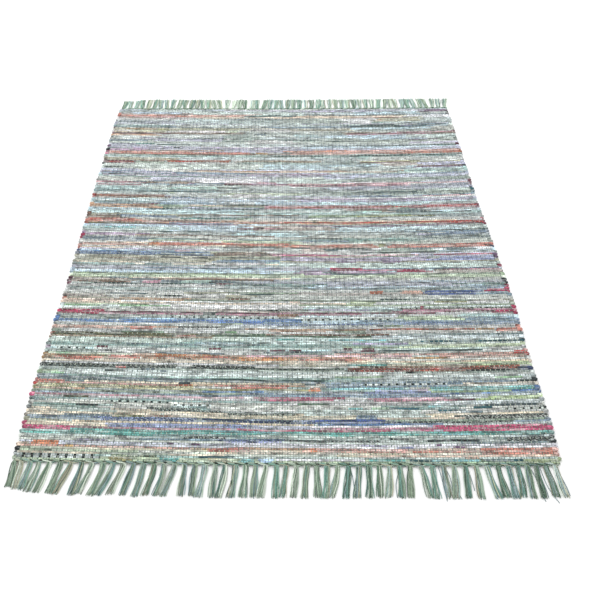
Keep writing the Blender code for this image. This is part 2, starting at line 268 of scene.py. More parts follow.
# Long stretches of one cloth in the ground. Later rows lie over earlier ones.
BANDS: tuple[tuple[float, float, float, float, Rag], ...] = (
    # first pick, how many picks, from and to in centimetres from the middle, rag
    (0, 2, 22, 52, R.SAGE), (3, 2, -60, -13, R.CREAM), (3, 2, 10, 45, R.CREAM), (5, 2, -60, 10, R.SALMON),
    (5, 2, 10, 60, R.PEACH), (7, 2, -60, -10, R.LILAC_WHITE), (7, 2, -10, 60, R.WHITE),
    (9, 2, -60, -14, R.PEARL), (9, 2, -7, 50, R.PALE_MINT), (11, 2, -60, -34, R.PALE_MINT),
    (11, 2, -34, -8, R.SLATE_MINT), (11, 1, -8, 50, R.MIST), (12, 1, -8, 50, R.PALE_MINT),
    (18, 1, 6, 34, R.DENIM), (21, 4, -60, -30, R.CREAM), (22, 4, 3, 32, R.PALE_MINT),
    (25, 2, -60, -42, R.SLATE_MINT), (26, 2, 20, 40, R.SLATE_MINT), (28, 5, 34, 60, R.PALE_MINT),
    (28, 2, 0, 34, R.PEARL), (32, 2, 21, 39, R.STEEL), (30, 1, 50, 60, R.IVORY), (34, 1, -1, 8, R.PEARL),
    (35, 2, -8, 30, R.MINT), (34, 3, -60, -49, R.TAN), (38, 3, -60, -38, R.SLATE), (38, 2, -38, 6, R.SLATE),
    (37, 2, 8, 41, R.STEEL), (40, 2, 2, 60, R.MIST), (40, 2, -51, 16, R.SLATE_MINT),
    (42, 3, -55, 27, R.PALE_MINT), (43, 1, 2, 60, R.PEARL), (45, 2, 15, 60, R.BROWN),
    (48, 1, -60, 0, R.PEARL), (47, 2, 18, 47, R.KHAKI), (48, 2, 0, 18, R.KHAKI), (50, 1, 0, 60, R.PEACH),
    (50, 4, -38, 17, R.TAN), (53, 3, 29, 55, R.PEARL), (54, 3, -46, -6, R.PEARL), (58, 3, 30, 60, R.IVORY),
    (59, 4, 17, 30, R.SLATE_MINT), (51, 2, -60, -43, R.TAN), (60, 4, -10, 17, R.PALE_MINT),
    (60, 4, 30, 60, R.PALE_MINT), (60, 3, -60, -25, R.PALE_MINT), (64, 2, -60, -17, R.MOSS),
    (64, 2, -17, 22, R.PINE), (63, 2, 22, 60, R.PALE_MINT), (65, 3, 22, 60, R.PEARL),
    (66, 3, -58, 14, R.PEARL), (69, 2, -18, 14, R.PALE_MINT), (69, 3, 29, 60, R.PEARL),
    (72, 2, 18, 60, R.STEEL), (75, 3, 18, 39, R.PEARL), (76, 2, 18, 54, R.PALE_MINT),
    (77, 2, -47, 22, R.DUSTY_ROSE), (80, 1, -60, 24, R.DOVE), (81, 3, -38, 5, R.WHITE),
    (85, 1, 20, 60, R.PEARL), (87, 4, -48, -28, R.PEARL), (90, 2, 21, 60, R.STEEL), (88, 2, 35, 50, R.ICE),
    (92, 2, 7, 35, R.PEARL), (95, 2, -60, -17, R.PEARL), (95, 2, 7, 55, R.ICE), (98, 3, -60, -40, R.ASH),
    (100, 2, -2, 60, R.PEARL), (102, 2, -60, 60, R.IVORY), (102, 3, 4, 35, R.IVORY), (104, 3, 4, 30, R.MAUVE),
    (106, 3, -45, -10, R.ICE), (109, 4, -2, 60, R.PALE_MINT), (111, 2, -23, -6, R.PEARL),
    (117, 3, 37, 60, R.LILAC_WHITE), (118, 2, -18, 19, R.DUSTY_ROSE), (120, 5, -28, 7, R.PEARL),
    (119, 4, 11, 28, R.PEARL), (122, 2, -60, -46, R.PEACH), (124, 2, -18, 0, R.TAUPE),
    (126, 4, 24, 60, R.PEARL), (130, 4, 30, 60, R.MIST), (134, 3, -60, 40, R.MIST), (138, 2, -60, 0, R.MINT),
    (137, 4, 11, 54, R.ICE), (140, 3, -60, 0, R.ICE), (146, 3, -43, 60, R.PEARL), (148, 3, -30, 60, R.MIST),
    (151, 3, -60, -14, R.ICE), (151, 2, -14, 60, R.MINT), (153, 2, -14, 32, R.PALE_MINT),
    (154, 2, -60, -14, R.ICE), (154, 2, 39, 60, R.PEARL), (159, 3, 0, 60, R.ICE),
    (160, 2, -60, -41, R.SLATE_MINT), (161, 3, -41, 0, R.ICE), (163, 1, 2, 60, R.LILAC_WHITE),
    (167, 1, -36, 38, R.PALE_MINT), (168, 2, -36, 6, R.IVORY), (168, 3, 15, 60, R.MIST),
    (170, 2, -60, -20, R.SLATE_MINT), (173, 4, -44, -15, R.PALE_MINT), (173, 3, -15, 14, R.PALE_MINT),
    (176, 4, -42, -18, R.MIST), (178, 3, 41, 60, R.LILAC_WHITE), (179, 4, -39, 21, R.PALE_MINT),
    (183, 2, -60, -26, R.SLATE_MINT), (183, 4, 14, 60, R.LILAC_WHITE), (185, 2, -60, 14, R.DOVE),
    (188, 2, 14, 60, R.PALE_MINT), (190, 3, -60, -33, R.LILAC_WHITE), (189, 3, 38, 60, R.MINT),
    (192, 5, -60, -8, R.PALE_MINT), (192, 5, -8, 15, R.ICE), (195, 3, 35, 60, R.LILAC_WHITE),
    (197, 2, -50, -16, R.PEARL), (198, 3, 11, 26, R.MIST), (201, 3, -60, 25, R.PALE_MINT),
    (201, 3, 25, 60, R.MINT), (204, 1, -7, 60, R.MIST), (206, 1, -7, 60, R.MIST), (209, 2, -30, 1, R.DOVE),
    (211, 4, -60, 12, R.DOVE), (211, 4, 12, 60, R.LILAC_WHITE), (214, 3, -29, -3, R.WHITE),
    (215, 3, -44, 60, R.PALE_MINT), (218, 2, -60, 60, R.PEARL), (217, 2, 43, 60, R.LILAC_WHITE),
    (220, 6, -46, -20, R.DOVE), (220, 5, -20, 23, R.MIST), (220, 3, 15, 60, R.MIST),
    (223, 4, -9, 11, R.PALE_MINT), (223, 4, 23, 42, R.ICE), (223, 5, 42, 60, R.PALE_MINT),
    (226, 1, -60, -20, R.WHITE), (227, 3, -20, 23, R.MIST), (230, 2, -40, 60, R.PEARL),
    (233, 2, 22, 60, R.ICE), (235, 3, -60, -40, R.SLATE_MINT), (235, 3, -40, -7, R.PEARL),
    (238, 4, -15, 4, R.PALE_MINT), (239, 4, -60, -38, R.DOVE), (240, 5, -38, -20, R.PALE_MINT),
    (240, 4, 25, 36, R.MINT), (241, 6, 36, 60, R.PALE_MINT), (244, 3, -60, -33, R.PEARL),
    (250, 3, 12, 60, R.PALE_MINT), (250, 3, 26, 48, R.ICE), (252, 3, -60, -10, R.MIST),
    (253, 3, -47, -31, R.PALE_MINT), (253, 3, -20, 60, R.LILAC_WHITE), (74, 3, -60, 4, R.MIST),
    (90, 2, -28, -14, R.KHAKI), (87, 3, -10, 60, R.PEARL), (90, 2, 2, 40, R.ASH), (120, 4, 26, 44, R.MIST),
    (133, 3, 45, 60, R.STEEL), (145, 2, -44, -20, R.ASH), (159, 2, -43, -5, R.STEEL),
    (164, 4, -60, -36, R.ASH), (165, 1, 5, 60, R.WHITE), (172, 4, -60, -44, R.MINT), (173, 4, 14, 60, R.DOVE),
    (180, 4, -45, -5, R.LILAC_WHITE), (180, 4, 21, 60, R.MIST), (188, 1, -36, -10, R.STEEL),
    (191, 4, 15, 39, R.PEARL), (199, 6, 27, 60, R.PEARL), (200, 3, -60, -35, R.KHAKI),
    (214, 4, -60, -44, R.DOVE), (231, 2, 22, 48, R.MIST), (235, 2, -7, 20, R.STEEL),
    (240, 6, 21, 32, R.WHITE), (246, 3, 45, 60, R.WHITE), (249, 3, -60, -14, R.ASH),
    (250, 3, -33, 6, R.PALE_MINT), (4, 2, -60, -17, R.IVORY), (92, 2, 21, 60, R.MIST),
    (97, 3, -40, -7, R.SLATE), (127, 3, -50, 7, R.IVORY), (130, 2, -60, -24, R.SLATE_MINT),
    (130, 1, -13, 28, R.SLATE_MINT), (131, 3, -60, 30, R.PEARL), (153, 3, 19, 33, R.ASH),
    (166, 4, -36, -20, R.PEARL), (178, 2, 18, 60, R.LILAC_WHITE), (178, 2, -43, -19, R.STEEL),
    (180, 4, -60, -45, R.PEARL), (204, 2, 7, 57, R.SLATE_MINT), (214, 2, 21, 60, R.SLATE_MINT),
    (218, 4, -12, 3, R.PEARL), (223, 5, -58, -24, R.PEARL), (224, 3, 12, 42, R.ICE),
    (225, 4, -10, 3, R.PEARL), (229, 4, -40, -16, R.IVORY), (231, 6, 52, 60, R.PEARL),
    (241, 4, -1, 22, R.MIST), (242, 5, 32, 50, R.KHAKI), (4, 2, -34, -19, R.PEARL), (76, 3, 30, 54, R.PEARL),
    (79, 2, 30, 58, R.DUSTY_ROSE), (84, 3, -60, -31, R.PEACH), (88, 3, -31, -15, R.PEARL),
    (105, 3, 41, 60, R.TAUPE), (105, 2, 41, 60, R.ASH), (120, 4, 4, 13, R.ASH), (137, 5, -33, -11, R.ICE),
    (138, 4, -11, 14, R.ASH), (142, 3, -56, -39, R.TAUPE), (133, 2, -58, -43, R.PEARL),
    (153, 3, 20, 33, R.TAUPE), (158, 4, -19, 6, R.PEARL), (166, 2, 20, 35, R.STEEL),
    (171, 2, 44, 60, R.PALE_MINT), (177, 3, -58, -29, R.MAUVE), (179, 4, -31, -6, R.WHITE),
    (187, 2, -39, -11, R.STEEL), (190, 2, -46, -30, R.WHITE), (213, 2, 6, 50, R.ICE),
    (226, 2, -60, -44, R.TAN), (227, 3, 21, 36, R.TAUPE), (227, 2, 44, 60, R.TAUPE),
    (230, 3, -40, -19, R.WHITE), (236, 3, 48, 58, R.STEEL), (252, 2, -20, -9, R.MIST),
    (255, 1, -20, 1, R.WHITE), (10, 1, -32, -12, R.STEEL), (63, 1, -60, -17, R.BROWN_PRINT),
    (73, 3, 39, 60, R.STEEL), (79, 2, -60, -26, R.PEARL), (79, 2, -26, 4, R.ASH), (96, 2, 10, 47, R.DOVE),
    (118, 3, -23, -5, R.TAUPE), (127, 2, -50, -17, R.PEACH), (129, 1, 2, 29, R.STEEL),
    (129, 3, -60, -38, R.SLATE), (129, 3, 17, 41, R.SLATE_MINT), (133, 3, -16, 6, R.ICE),
    (143, 2, -36, -16, R.STEEL), (158, 1, -32, -8, R.TAUPE), (159, 2, 44, 60, R.MIST),
    (175, 3, -60, -32, R.PALE_MINT), (187, 3, -58, -38, R.STEEL), (195, 3, 31, 45, R.ASH),
    (210, 3, -60, -47, R.MAUVE), (231, 3, -56, -39, R.KHAKI), (249, 2, -28, -9, R.ASH),
    (22, 3, -15, 3, R.MIST), (84, 2, -27, 2, R.PEACH), (93, 2, -60, -21, R.MIST), (93, 3, 50, 60, R.STEEL),
    (98, 3, -44, -32, R.SLATE), (98, 2, 34, 50, R.ASH), (107, 1, -26, -4, R.MINT), (144, 2, -10, 6, R.ASH),
    (146, 4, -56, -49, R.ASH), (153, 1, 17, 31, R.MINT), (164, 2, -50, -37, R.PEARL),
    (177, 4, 47, 60, R.LILAC_WHITE), (197, 2, -50, -40, R.LICHEN), (222, 2, 31, 48, R.ICE),
    (231, 3, -12, 4, R.PEARL), (235, 2, -32, -16, R.MIST), (25, 2, -28, -18, R.SLATE_MINT),
    (41, 1, -30, 1, R.MINT), (74, 2, -28, -4, R.SKY), (88, 2, -60, -47, R.ASH), (246, 3, -16, -5, R.PEARL),
    (23, 2, -53, -41, R.MIST), (58, 1, -48, -35, R.PEARL), (100, 2, -2, 10, R.MIST),
    (133, 3, -57, -28, R.PEARL), (160, 2, -10, 8, R.ICE), (166, 3, -16, -6, R.WHITE),
    (173, 2, -36, -20, R.MINT), (251, 2, -54, -39, R.ICE), (255, 1, -15, 15, R.WHITE),
)

# Rags that stand out, each woven over its place in the ground.
CHART: tuple[tuple[float, float, float, float, Rag], ...] = (
    # first pick, how many picks, from and to in centimetres from the middle, rag
    (0, 2, -39, -34, R.OLIVE), (0, 2, -16.5, -12.5, R.OLIVE), (1, 1, 26.5, 33, R.DARK_TEAL),
    (1, 1, 33, 43.5, R.AQUA), (1, 1, 44, 52.5, R.DARK_TEAL), (0, 2, 53, 60, R.LIME), (1, 2, -60, -41, R.DOTS),
    (0, 2, -27.5, -23.5, R.TURQUOISE), (0, 2, -10.5, -7.5, R.AQUA), (0, 2, -6, -3, R.SKY),
    (1, 1, -2, 16, R.WHITE), (1, 1, 17.5, 26.5, R.TURQUOISE), (2, 1, -37.5, -29, R.GREEN_PRINT),
    (2, 1, -19.5, -11, R.DARK_TEAL), (2, 1, 39, 42, R.TAN), (3, 1, -40, -25, R.LICHEN),
    (3, 1, 18, 60, R.PEACH), (4, 1, 24, 44, R.CREAM), (5, 1, -50, -17, R.CREAM), (6, 1, -60, -44, R.SALMON),
    (7, 1, -60, -57, R.PEACH), (6, 1, -49, -47, R.GOLD), (6, 1, -44, -22, R.SALMON),
    (6, 1, -22, -16.5, R.GOLD), (5, 2, -16.5, -10, R.CORAL), (6, 1, -10, 5, R.TAN), (5, 1, -10, 5, R.CREAM),
    (5, 2, 5, 8, R.ORANGE), (5, 1, 8, 24, R.SALMON), (6, 1, 8, 24, R.SALMON), (5, 2, 23, 27, R.SALMON),
    (5, 1, 28, 33.5, R.CORAL), (5, 1, 33.5, 37, R.SALMON), (5, 1, 37, 39.5, R.CORAL),
    (5, 1, 39.5, 44.5, R.SALMON), (4, 3, 44.5, 60, R.CORAL), (7, 2, -57, -50.5, R.ORANGE),
    (7, 1, 25, 28.5, R.PERIWINKLE), (7, 1, 37, 40, R.PURPLE), (8, 1, 17, 22, R.LILAC),
    (8, 1, 33.5, 35, R.PURPLE), (7, 1, 47.5, 49, R.PINK), (9, 1, -47, -41, R.LILAC),
    (8, 1, -26.5, -25, R.PURPLE), (8, 1, -21, -19, R.PURPLE), (9, 1, -14, 0, R.PERIWINKLE),
    (10, 1, -14, 0, R.NAVY_PRINT), (10, 1, 0, 20, R.PEPPER), (10, 1, 1, 8, R.CHARCOAL),
    (11, 1, -38.5, -36, R.CHARCOAL), (11, 1, -22, -14, R.PEPPER), (11, 1, 23, 27, R.CHARCOAL),
    (10, 1, 31, 43, R.CHARCOAL), (10, 2, 50, 60, R.PEPPER), (9, 1, 40, 60, R.SLATE),
    (12, 1, -60, -30, R.TURQUOISE), (13, 2, -48, 60, R.TURQUOISE), (14, 1, -15, 0, R.AQUA),
    (13, 1, 35, 42, R.AQUA), (13, 1, 50, 60, R.TURQUOISE), (14, 2, -60, -48, R.MAGENTA),
    (15, 1, -47, -11, R.DUSTY_ROSE), (15, 1, -11, 25.5, R.ROSE), (15, 2, 26.5, 34.5, R.ROSE),
    (15, 3, 34.5, 60, R.MAGENTA), (16, 2, -42, -8, R.PERIWINKLE), (16, 2, -8, 26, R.DOVE),
    (16, 2, -60, -43, R.CREAM), (18, 1, -60, -50, R.KHAKI), (18, 1, -50, 6, R.CREAM),
    (19, 2, -44, -20, R.NAVY_PRINT), (19, 2, -20, 4, R.NAVY), (20, 1, -12, 2, R.NAVY_PRINT),
    (19, 2, 4, 8, R.NAVY_PRINT), (19, 2, 8, 21, R.ROYAL), (19, 1, 21, 26.5, R.NAVY),
    (19, 1, 26.5, 53, R.PEPPER), (20, 1, -55.5, -53, R.NAVY), (21, 1, -50, -40, R.SLATE),
    (21, 2, -25, 15, R.BEIGE), (21, 1, -39, -33, R.OLIVE), (21, 1, -33, -27, R.BROWN),
    (21, 2, 15.5, 21.5, R.STEEL), (20, 1, 27, 60, R.LICHEN), (21, 2, 40, 58.5, R.PEPPER),
    (22, 1, -30, -14, R.BEIGE), (23, 1, -14, 2, R.PEPPER), (24, 2, -30, -21, R.PEPPER),
    (25, 1, -33, -30, R.CHARCOAL), (24, 1, -21, -15, R.PEPPER), (24, 1, -54, -51, R.PINE),
    (26, 1, -49, -44, R.CHARCOAL), (24, 1, 40, 46, R.SLATE), (25, 1, 34.5, 42.5, R.DARK_TEAL),
    (26, 1, 43.5, 48, R.DARK_TEAL), (26, 1, 24, 32, R.DARK_TEAL), (25, 1, 50, 60, R.DOTS),
    (26, 1, 15, 18, R.AQUA), (27, 1, 33.5, 37, R.AQUA), (26, 1, 20, 24, R.LEAF), (28, 1, -40, -28, R.DOTS),
    (27, 1, -28, -17, R.DOTS), (28, 1, 3, 11, R.PINE), (27, 1, 43, 59, R.DARK_SLATE),
    (28, 1, -60, -56, R.DARK_TEAL), (30, 1, -52, -47, R.MOSS), (31, 1, -60, -35, R.DUSTY_ROSE),
    (31, 1, -35, -8, R.PINK), (30, 2, -8, 12, R.ROSE), (30, 2, 20, 38.5, R.DUSTY_ROSE),
    (30, 1, 40, 46, R.MAROON), (30, 2, 46, 60, R.LIME), (33, 1, 3, 31, R.STEEL), (34, 1, 6, 20, R.DOVE),
    (34, 2, 20, 33, R.PERIWINKLE), (33, 1, 40, 48, R.DENIM), (34, 2, 53, 60, R.CORNFLOWER),
    (34, 1, -19, -7, R.DENIM), (35, 2, -60, -20, R.OLIVE_PRINT), (35, 1, -20, 5, R.OLIVE),
    (35, 2, 5.5, 8, R.ORANGE), (36, 1, 10, 30, R.AQUA), (35, 2, 33.5, 60, R.AQUA),
    (35, 1, 45, 60, R.TURQUOISE), (35, 1, 31, 33.5, R.MAUVE), (37, 2, -60, -52, R.CORAL),
    (37, 1, -52, -27, R.SALMON), (37, 1, -27, -22, R.RUST), (37, 1, -22, -17, R.GOLD),
    (37, 1, -16, 0, R.CORAL), (36, 1, -12, 0, R.CORAL), (37, 1, 0, 5, R.TAN), (38, 1, -50, 5, R.CREAM),
    (38, 1, -25.5, -23, R.CHARCOAL), (38, 1, 20, 38, R.DOTS), (39, 1, 55, 60, R.CHARCOAL),
    (40, 1, -42, -16, R.SLATE), (40, 1, -16, 8, R.DARK_SLATE), (40, 1, -50, -46, R.OLIVE),
    (40, 1, -60, -42, R.SLATE), (41, 1, 50, 56, R.LEAF), (42, 1, -59, -54, R.LEAF), (42, 1, 10, 25, R.SAGE),
    (44, 1, -44, -42, R.CHARCOAL), (45, 1, -36, -32, R.SLATE), (44, 1, -31, -29, R.SLATE),
    (46, 2, -42, -25, R.NIGHT_PRINT), (46, 2, -25, -8, R.NIGHT_PRINT), (46, 1, -42, -39, R.RED),
    (46, 1, -8, 14, R.NIGHT_PRINT), (45, 2, 14.5, 28, R.WINE_PRINT), (45, 3, 28, 36, R.WINE_PRINT),
    (46, 2, 36, 42, R.RED), (46, 2, 42, 56, R.WINE_PRINT), (45, 1, 43, 60, R.CHARCOAL),
    (45, 2, 56, 60, R.NAVY), (44, 1, 29, 31, R.CHARCOAL), (48, 2, 44, 60, R.LIME), (47, 1, 20, 45, R.BROWN),
    (48, 1, 16, 26, R.TEAL), (49, 2, -60, 15, R.CREAM), (51, 1, -55.5, -44, R.CORAL),
    (50, 1, -54, -47, R.CORAL), (51, 2, -44, -37, R.CORAL), (52, 2, -33, -16, R.AMBER_PRINT),
    (52, 1, -33, -27, R.ORANGE), (52, 1, -20, -15, R.CORAL), (51, 1, -13, -5, R.RED),
    (51, 1, -5, 22, R.CORAL), (51, 2, -14, 1, R.AMBER_PRINT), (53, 1, -10, 30, R.PINK),
    (52, 1, 32, 40, R.GOLD), (54, 1, 10, 60, R.SALMON), (53, 1, 40, 56, R.SALMON), (54, 2, 56, 60, R.RED),
    (53, 1, -57, -53, R.LEAF), (54, 1, -33, -13, R.SLATE), (55, 1, -5, 17, R.SLATE),
    (55, 1, -47, -44, R.CHARCOAL), (56, 1, -57, -50, R.DOTS), (57, 1, -47.5, -45, R.MAROON),
    (57, 1, -19, -16.5, R.MAROON), (56, 1, -9, -7, R.MAROON), (56, 1, -4.5, 0, R.MAROON),
    (56, 1, 1, 4, R.MAROON), (56, 2, 14.5, 16.5, R.MAROON), (56, 2, 19, 22, R.MAROON),
    (57, 1, -33.5, -30, R.DARK_TEAL), (56, 1, 23, 48, R.DARK_SLATE), (58, 2, -60, 15, R.SLATE_MINT),
    (59, 1, -40, -8, R.SLATE), (58, 1, 15, 30, R.SAGE), (60, 1, 18, 33, R.LILAC),
    (61, 1, 33, 60, R.DARK_TEAL), (62, 1, -3, 2, R.TURQUOISE), (62, 1, 12, 25, R.AQUA),
    (64, 1, -28, -23, R.RUST), (65, 1, -5, 27, R.BROWN), (65, 1, 27, 60, R.SLATE), (66, 1, -34, -31, R.LEAF),
    (66, 1, -15.5, -12.5, R.LEAF), (66, 1, -42, -34, R.PINE), (68, 2, -60, -40, R.SALMON),
    (68, 2, -40, -34.5, R.CORAL), (69, 1, -28, -15, R.PEPPER), (68, 1, -10, 20, R.TAN),
    (67, 1, -4, 12, R.TAN), (68, 1, 20, 49, R.RUST), (68, 1, 49, 53, R.GOLD), (67, 2, 53, 60, R.CORAL),
    (70, 1, 23.5, 25, R.CHARCOAL), (71, 1, -12, 25, R.NAVY_PRINT), (72, 2, -60, -45, R.DENIM),
    (73, 1, -60, -45, R.CORNFLOWER), (72, 2, -45, -22, R.CORNFLOWER), (74, 1, -45, -22, R.SKY),
    (72, 2, -22, -7, R.CORNFLOWER), (73, 2, -7, 4.5, R.CORNFLOWER), (71, 2, 25, 60, R.STEEL),
    (72, 1, 32, 50, R.BLUE_PRINT), (75, 1, -31, -2, R.DOTS), (74, 1, 5, 30, R.DOTS), (76, 2, 46, 55, R.MINT),
    (74, 3, 30, 45, R.IVORY), (77, 3, -60, -47, R.CRIMSON), (78, 1, -47, -22, R.MAROON),
    (77, 2, -22, -18, R.CHARCOAL), (78, 1, -18, -4, R.MAROON), (76, 2, -3, 3, R.BROWN),
    (78, 1, 3, 22, R.MAROON), (79, 1, 41, 54, R.MAROON), (78, 2, 54, 60, R.CRIMSON),
    (80, 1, -12, 6, R.PEPPER), (81, 1, 28, 60, R.PEPPER), (82, 1, -58, -50, R.LEAF),
    (82, 1, -45, -30, R.LEAF), (84, 1, -60, 0, R.PEACH), (84, 1, 0, 17, R.PEACH), (83, 3, 16.5, 23.5, R.LIME),
    (85, 1, 40.5, 47.5, R.OLIVE), (81, 2, 35.5, 36.5, R.CRIMSON), (86, 2, -46, -27, R.TAN),
    (87, 1, -15, -10, R.BROWN), (87, 1, 25, 34.5, R.DARK_SLATE), (89, 1, -34, -28, R.CHARCOAL),
    (90, 1, -12, -4, R.DARK_SLATE), (90, 1, -48, -36, R.SLATE), (91, 2, 23, 26, R.RUST),
    (91, 2, 30.5, 38, R.SALMON), (90, 3, 38.5, 51, R.ROYAL), (92, 2, 53.5, 60, R.CRIMSON),
    (94, 1, 5, 30, R.SLATE), (94, 1, 39, 45, R.SLATE), (97, 1, -53, -25, R.DARK_SLATE),
    (97, 1, -19, -15, R.MAROON), (97, 1, -12, -5, R.SLATE), (99, 1, -58, -40, R.TAUPE),
    (98, 1, -56, -44, R.BROWN), (98, 2, -39, -35, R.DUSTY_ROSE), (98, 2, -28, -21, R.MINT),
    (98, 1, -21, -19, R.CHARCOAL), (98, 2, -10, 60, R.DOVE), (100, 1, -35, -5, R.BROWN),
    (101, 1, -50, -43, R.SLATE), (101, 1, -43, 0, R.CREAM), (104, 1, 14, 30, R.SLATE),
    (105, 1, 10, 15, R.SLATE), (107, 3, -60, 12, R.DOVE), (108, 1, -40, 0, R.STEEL),
    (107, 2, 13, 21, R.CRIMSON), (107, 1, 21, 30, R.ROSE), (106, 2, 30, 40, R.CRIMSON),
    (107, 1, 46, 60, R.ROSE_PRINT), (109, 3, 5, 60, R.PALE_MINT), (111, 1, -39, -33, R.SLATE),
    (112, 1, -60, -20, R.BEIGE), (113, 5, -60, -20, R.KHAKI), (115, 1, -50, -38, R.TAUPE),
    (116, 1, -36, -30, R.CHARCOAL), (116, 1, -26.5, -21.5, R.CHARCOAL), (116, 1, -16, -10, R.CHARCOAL),
    (113, 2, -20, 0, R.STEEL), (114, 1, -14, -2, R.DENIM), (114, 3, 0, 42, R.LILAC), (115, 1, 8, 30, R.MAUVE),
    (113, 1, 15, 20, R.PURPLE), (113, 1, 27, 32, R.PURPLE), (114, 3, 42, 60, R.PERIWINKLE),
    (118, 1, 0, 20, R.ROSE), (118, 1, 20, 40, R.PINK), (118, 1, 42, 58, R.ROSE), (118, 1, -9, -7, R.CRIMSON),
    (118, 2, -60, -37, R.NAVY_PRINT), (120, 1, -60, -22, R.DENIM), (122, 1, -60, -20, R.LILAC_WHITE),
    (121, 1, -32, -28, R.PINK), (120, 1, -20, -7, R.OLIVE), (120, 1, -6, 20, R.WHITE),
    (120, 1, 21, 41, R.CHARCOAL), (122, 1, -7, -3, R.MAROON), (122, 1, 11, 16, R.SLATE),
    (122, 1, 45, 55, R.SLATE), (124, 1, -17, -13, R.CHARCOAL), (124, 1, -10, -3, R.SLATE),
    (124, 1, 0, 12, R.DARK_SLATE), (123, 1, 12, 24, R.DARK_SLATE), (123, 1, 36, 50, R.SLATE),
    (125, 2, -60, -40, R.SALMON), (126, 2, -40, -36, R.ORANGE), (126, 2, -36, 0, R.CORAL),
    (125, 1, -36, -20, R.SALMON), (125, 2, 0, 26, R.CORAL), (124, 1, 6, 26, R.SALMON),
    (125, 2, 27, 29, R.OLIVE), (124, 3, 29, 60, R.CORAL), (125, 1, 38, 52, R.SALMON),
    (131, 1, 6, 17, R.CHARCOAL), (131, 1, 38, 60, R.SLATE), (133, 2, -60, -42, R.MAUVE),
    (133, 1, -43, -5, R.TAUPE), (133, 1, 38, 60, R.SLATE), (136, 1, -39, -25, R.DARK_SLATE),
    (136, 1, 37, 60, R.STEEL), (137, 1, 37, 60, R.DARK_SLATE), (139, 1, -54, -45, R.AQUA),
    (139, 1, -14, 0.5, R.DUSTY_ROSE), (139, 1, -14, -6, R.MAROON), (141, 1, 5, 50, R.PURPLE),
    (142, 1, -60, -45, R.MOSS), (142, 1, -40, -15, R.PURPLE), (144, 3, -60, -43.5, R.CORAL),
    (145, 1, -58, -46, R.RED), (144, 1, -43, 0, R.SALMON), (145, 1, -43, -20, R.TAUPE),
    (144, 1, -1, 60, R.RED), (145, 1, -14, 50, R.PEACH), (143, 1, 44, 60, R.RED), (142, 1, 44, 60, R.MAROON),
    (147, 1, -30, -15, R.TEAL), (147, 1, -15, -10, R.LEAF), (148, 2, -49, -32, R.STEEL),
    (147, 2, -60, -50, R.TAUPE), (150, 1, -32, 6, R.TAUPE), (149, 2, 6, 40, R.SAGE),
    (149, 1, 20, 44, R.OLIVE), (152, 3, 32, 46, R.SLATE), (153, 1, 41, 45, R.CHARCOAL),
    (152, 1, 52, 57, R.CHARCOAL), (155, 1, -42, -5, R.DARK_SLATE), (156, 3, -60, -39, R.TAN),
    (157, 1, -55, -40, R.BROWN), (156, 1, -31, -5, R.DOVE), (158, 1, -31, -18, R.PEACH),
    (156, 3, -5, 32.5, R.DUSTY_ROSE), (157, 1, -5, 32.5, R.RUST), (156, 3, 36, 60, R.DUSTY_ROSE),
    (157, 1, 36, 60, R.RED), (159, 1, -22, -5, R.DARK_SLATE), (159, 1, -48, -39, R.MAROON),
    (162, 1, 2, 60, R.LILAC), (164, 1, 0, 41, R.MAUVE), (165, 1, -60, -37, R.BROWN),
    (166, 1, -60, -40, R.RUST), (165, 1, -37, -24, R.STEEL), (166, 1, 45, 60, R.PINK),
    (167, 1, 38, 60, R.STEEL), (169, 1, 17, 45, R.SLATE), (170, 1, 24, 40, R.DARK_SLATE),
    (171, 1, 31, 44, R.SLATE), (170, 1, -38, -26, R.DARK_SLATE), (174, 1, -21, -16, R.CHARCOAL),
    (176, 2, 0.5, 41, R.DUSTY_ROSE), (177, 1, 0.5, 20, R.MAROON), (178, 1, 20, 43, R.PINK),
    (177, 2, -20, 0.5, R.DUSTY_ROSE), (177, 1, -18, -3, R.MAROON), (178, 1, -58, -40, R.DUSTY_ROSE),
    (178, 2, -58, -42, R.DUSTY_ROSE), (179, 1, -40, -35, R.MAROON), (179, 1, -50, -31, R.SLATE),
    (178, 1, 41, 60, R.PINK), (186, 1, -57, -51, R.CHARCOAL), (187, 1, -38, 17, R.MAUVE),
    (187, 1, 17, 60, R.STEEL), (188, 1, -60, -20, R.LILAC), (189, 1, -31, 37, R.PEACH),
    (190, 1, -31, 37, R.TAN), (193, 1, -60, -53, R.CHARCOAL), (194, 1, 24, 31, R.SLATE),
    (193, 1, 42, 60, R.PURPLE), (194, 1, 42, 60, R.TAUPE), (197, 3, -60, -50, R.MAROON),
    (198, 1, -60, -50, R.RED), (199, 2, -49, -40, R.TAUPE), (199, 2, -40, -19, R.RUST),
    (199, 1, -38, -30, R.RED), (199, 2, -16, 11, R.BROWN_PRINT), (198, 1, 26, 43, R.MAROON),
    (199, 1, 26, 43, R.OLIVE_PRINT), (198, 1, 43, 60, R.OLIVE_PRINT), (203, 1, 44, 60, R.PALE_MINT),
    (205, 1, -7, 60, R.DARK_SLATE), (205, 1, -30, -16, R.SLATE), (204, 2, -50, -30, R.SLATE_MINT),
    (206, 1, -60, -10, R.TAUPE), (207, 2, -60, -10, R.CORAL), (209, 1, -60, -30, R.SALMON),
    (210, 1, -50, -20, R.BROWN_PRINT), (207, 2, -9.5, -6, R.GOLD), (207, 2, 0, 35, R.SALMON),
    (209, 2, 1, 60, R.SALMON), (210, 1, 1, 20, R.ORANGE), (207, 2, 35, 60, R.CORAL),
    (208, 1, 35, 60, R.CORAL), (212, 1, -60, -52, R.SLATE), (213, 1, -57, -38, R.LILAC),
    (213, 1, -24, -7, R.LILAC), (213, 1, -38, -36, R.CHARCOAL), (216, 1, -43, -33, R.DARK_SLATE),
    (217, 1, -50, -44, R.TEAL), (215, 1, 5, 60, R.DARK_SLATE), (220, 2, -60, -46, R.STEEL),
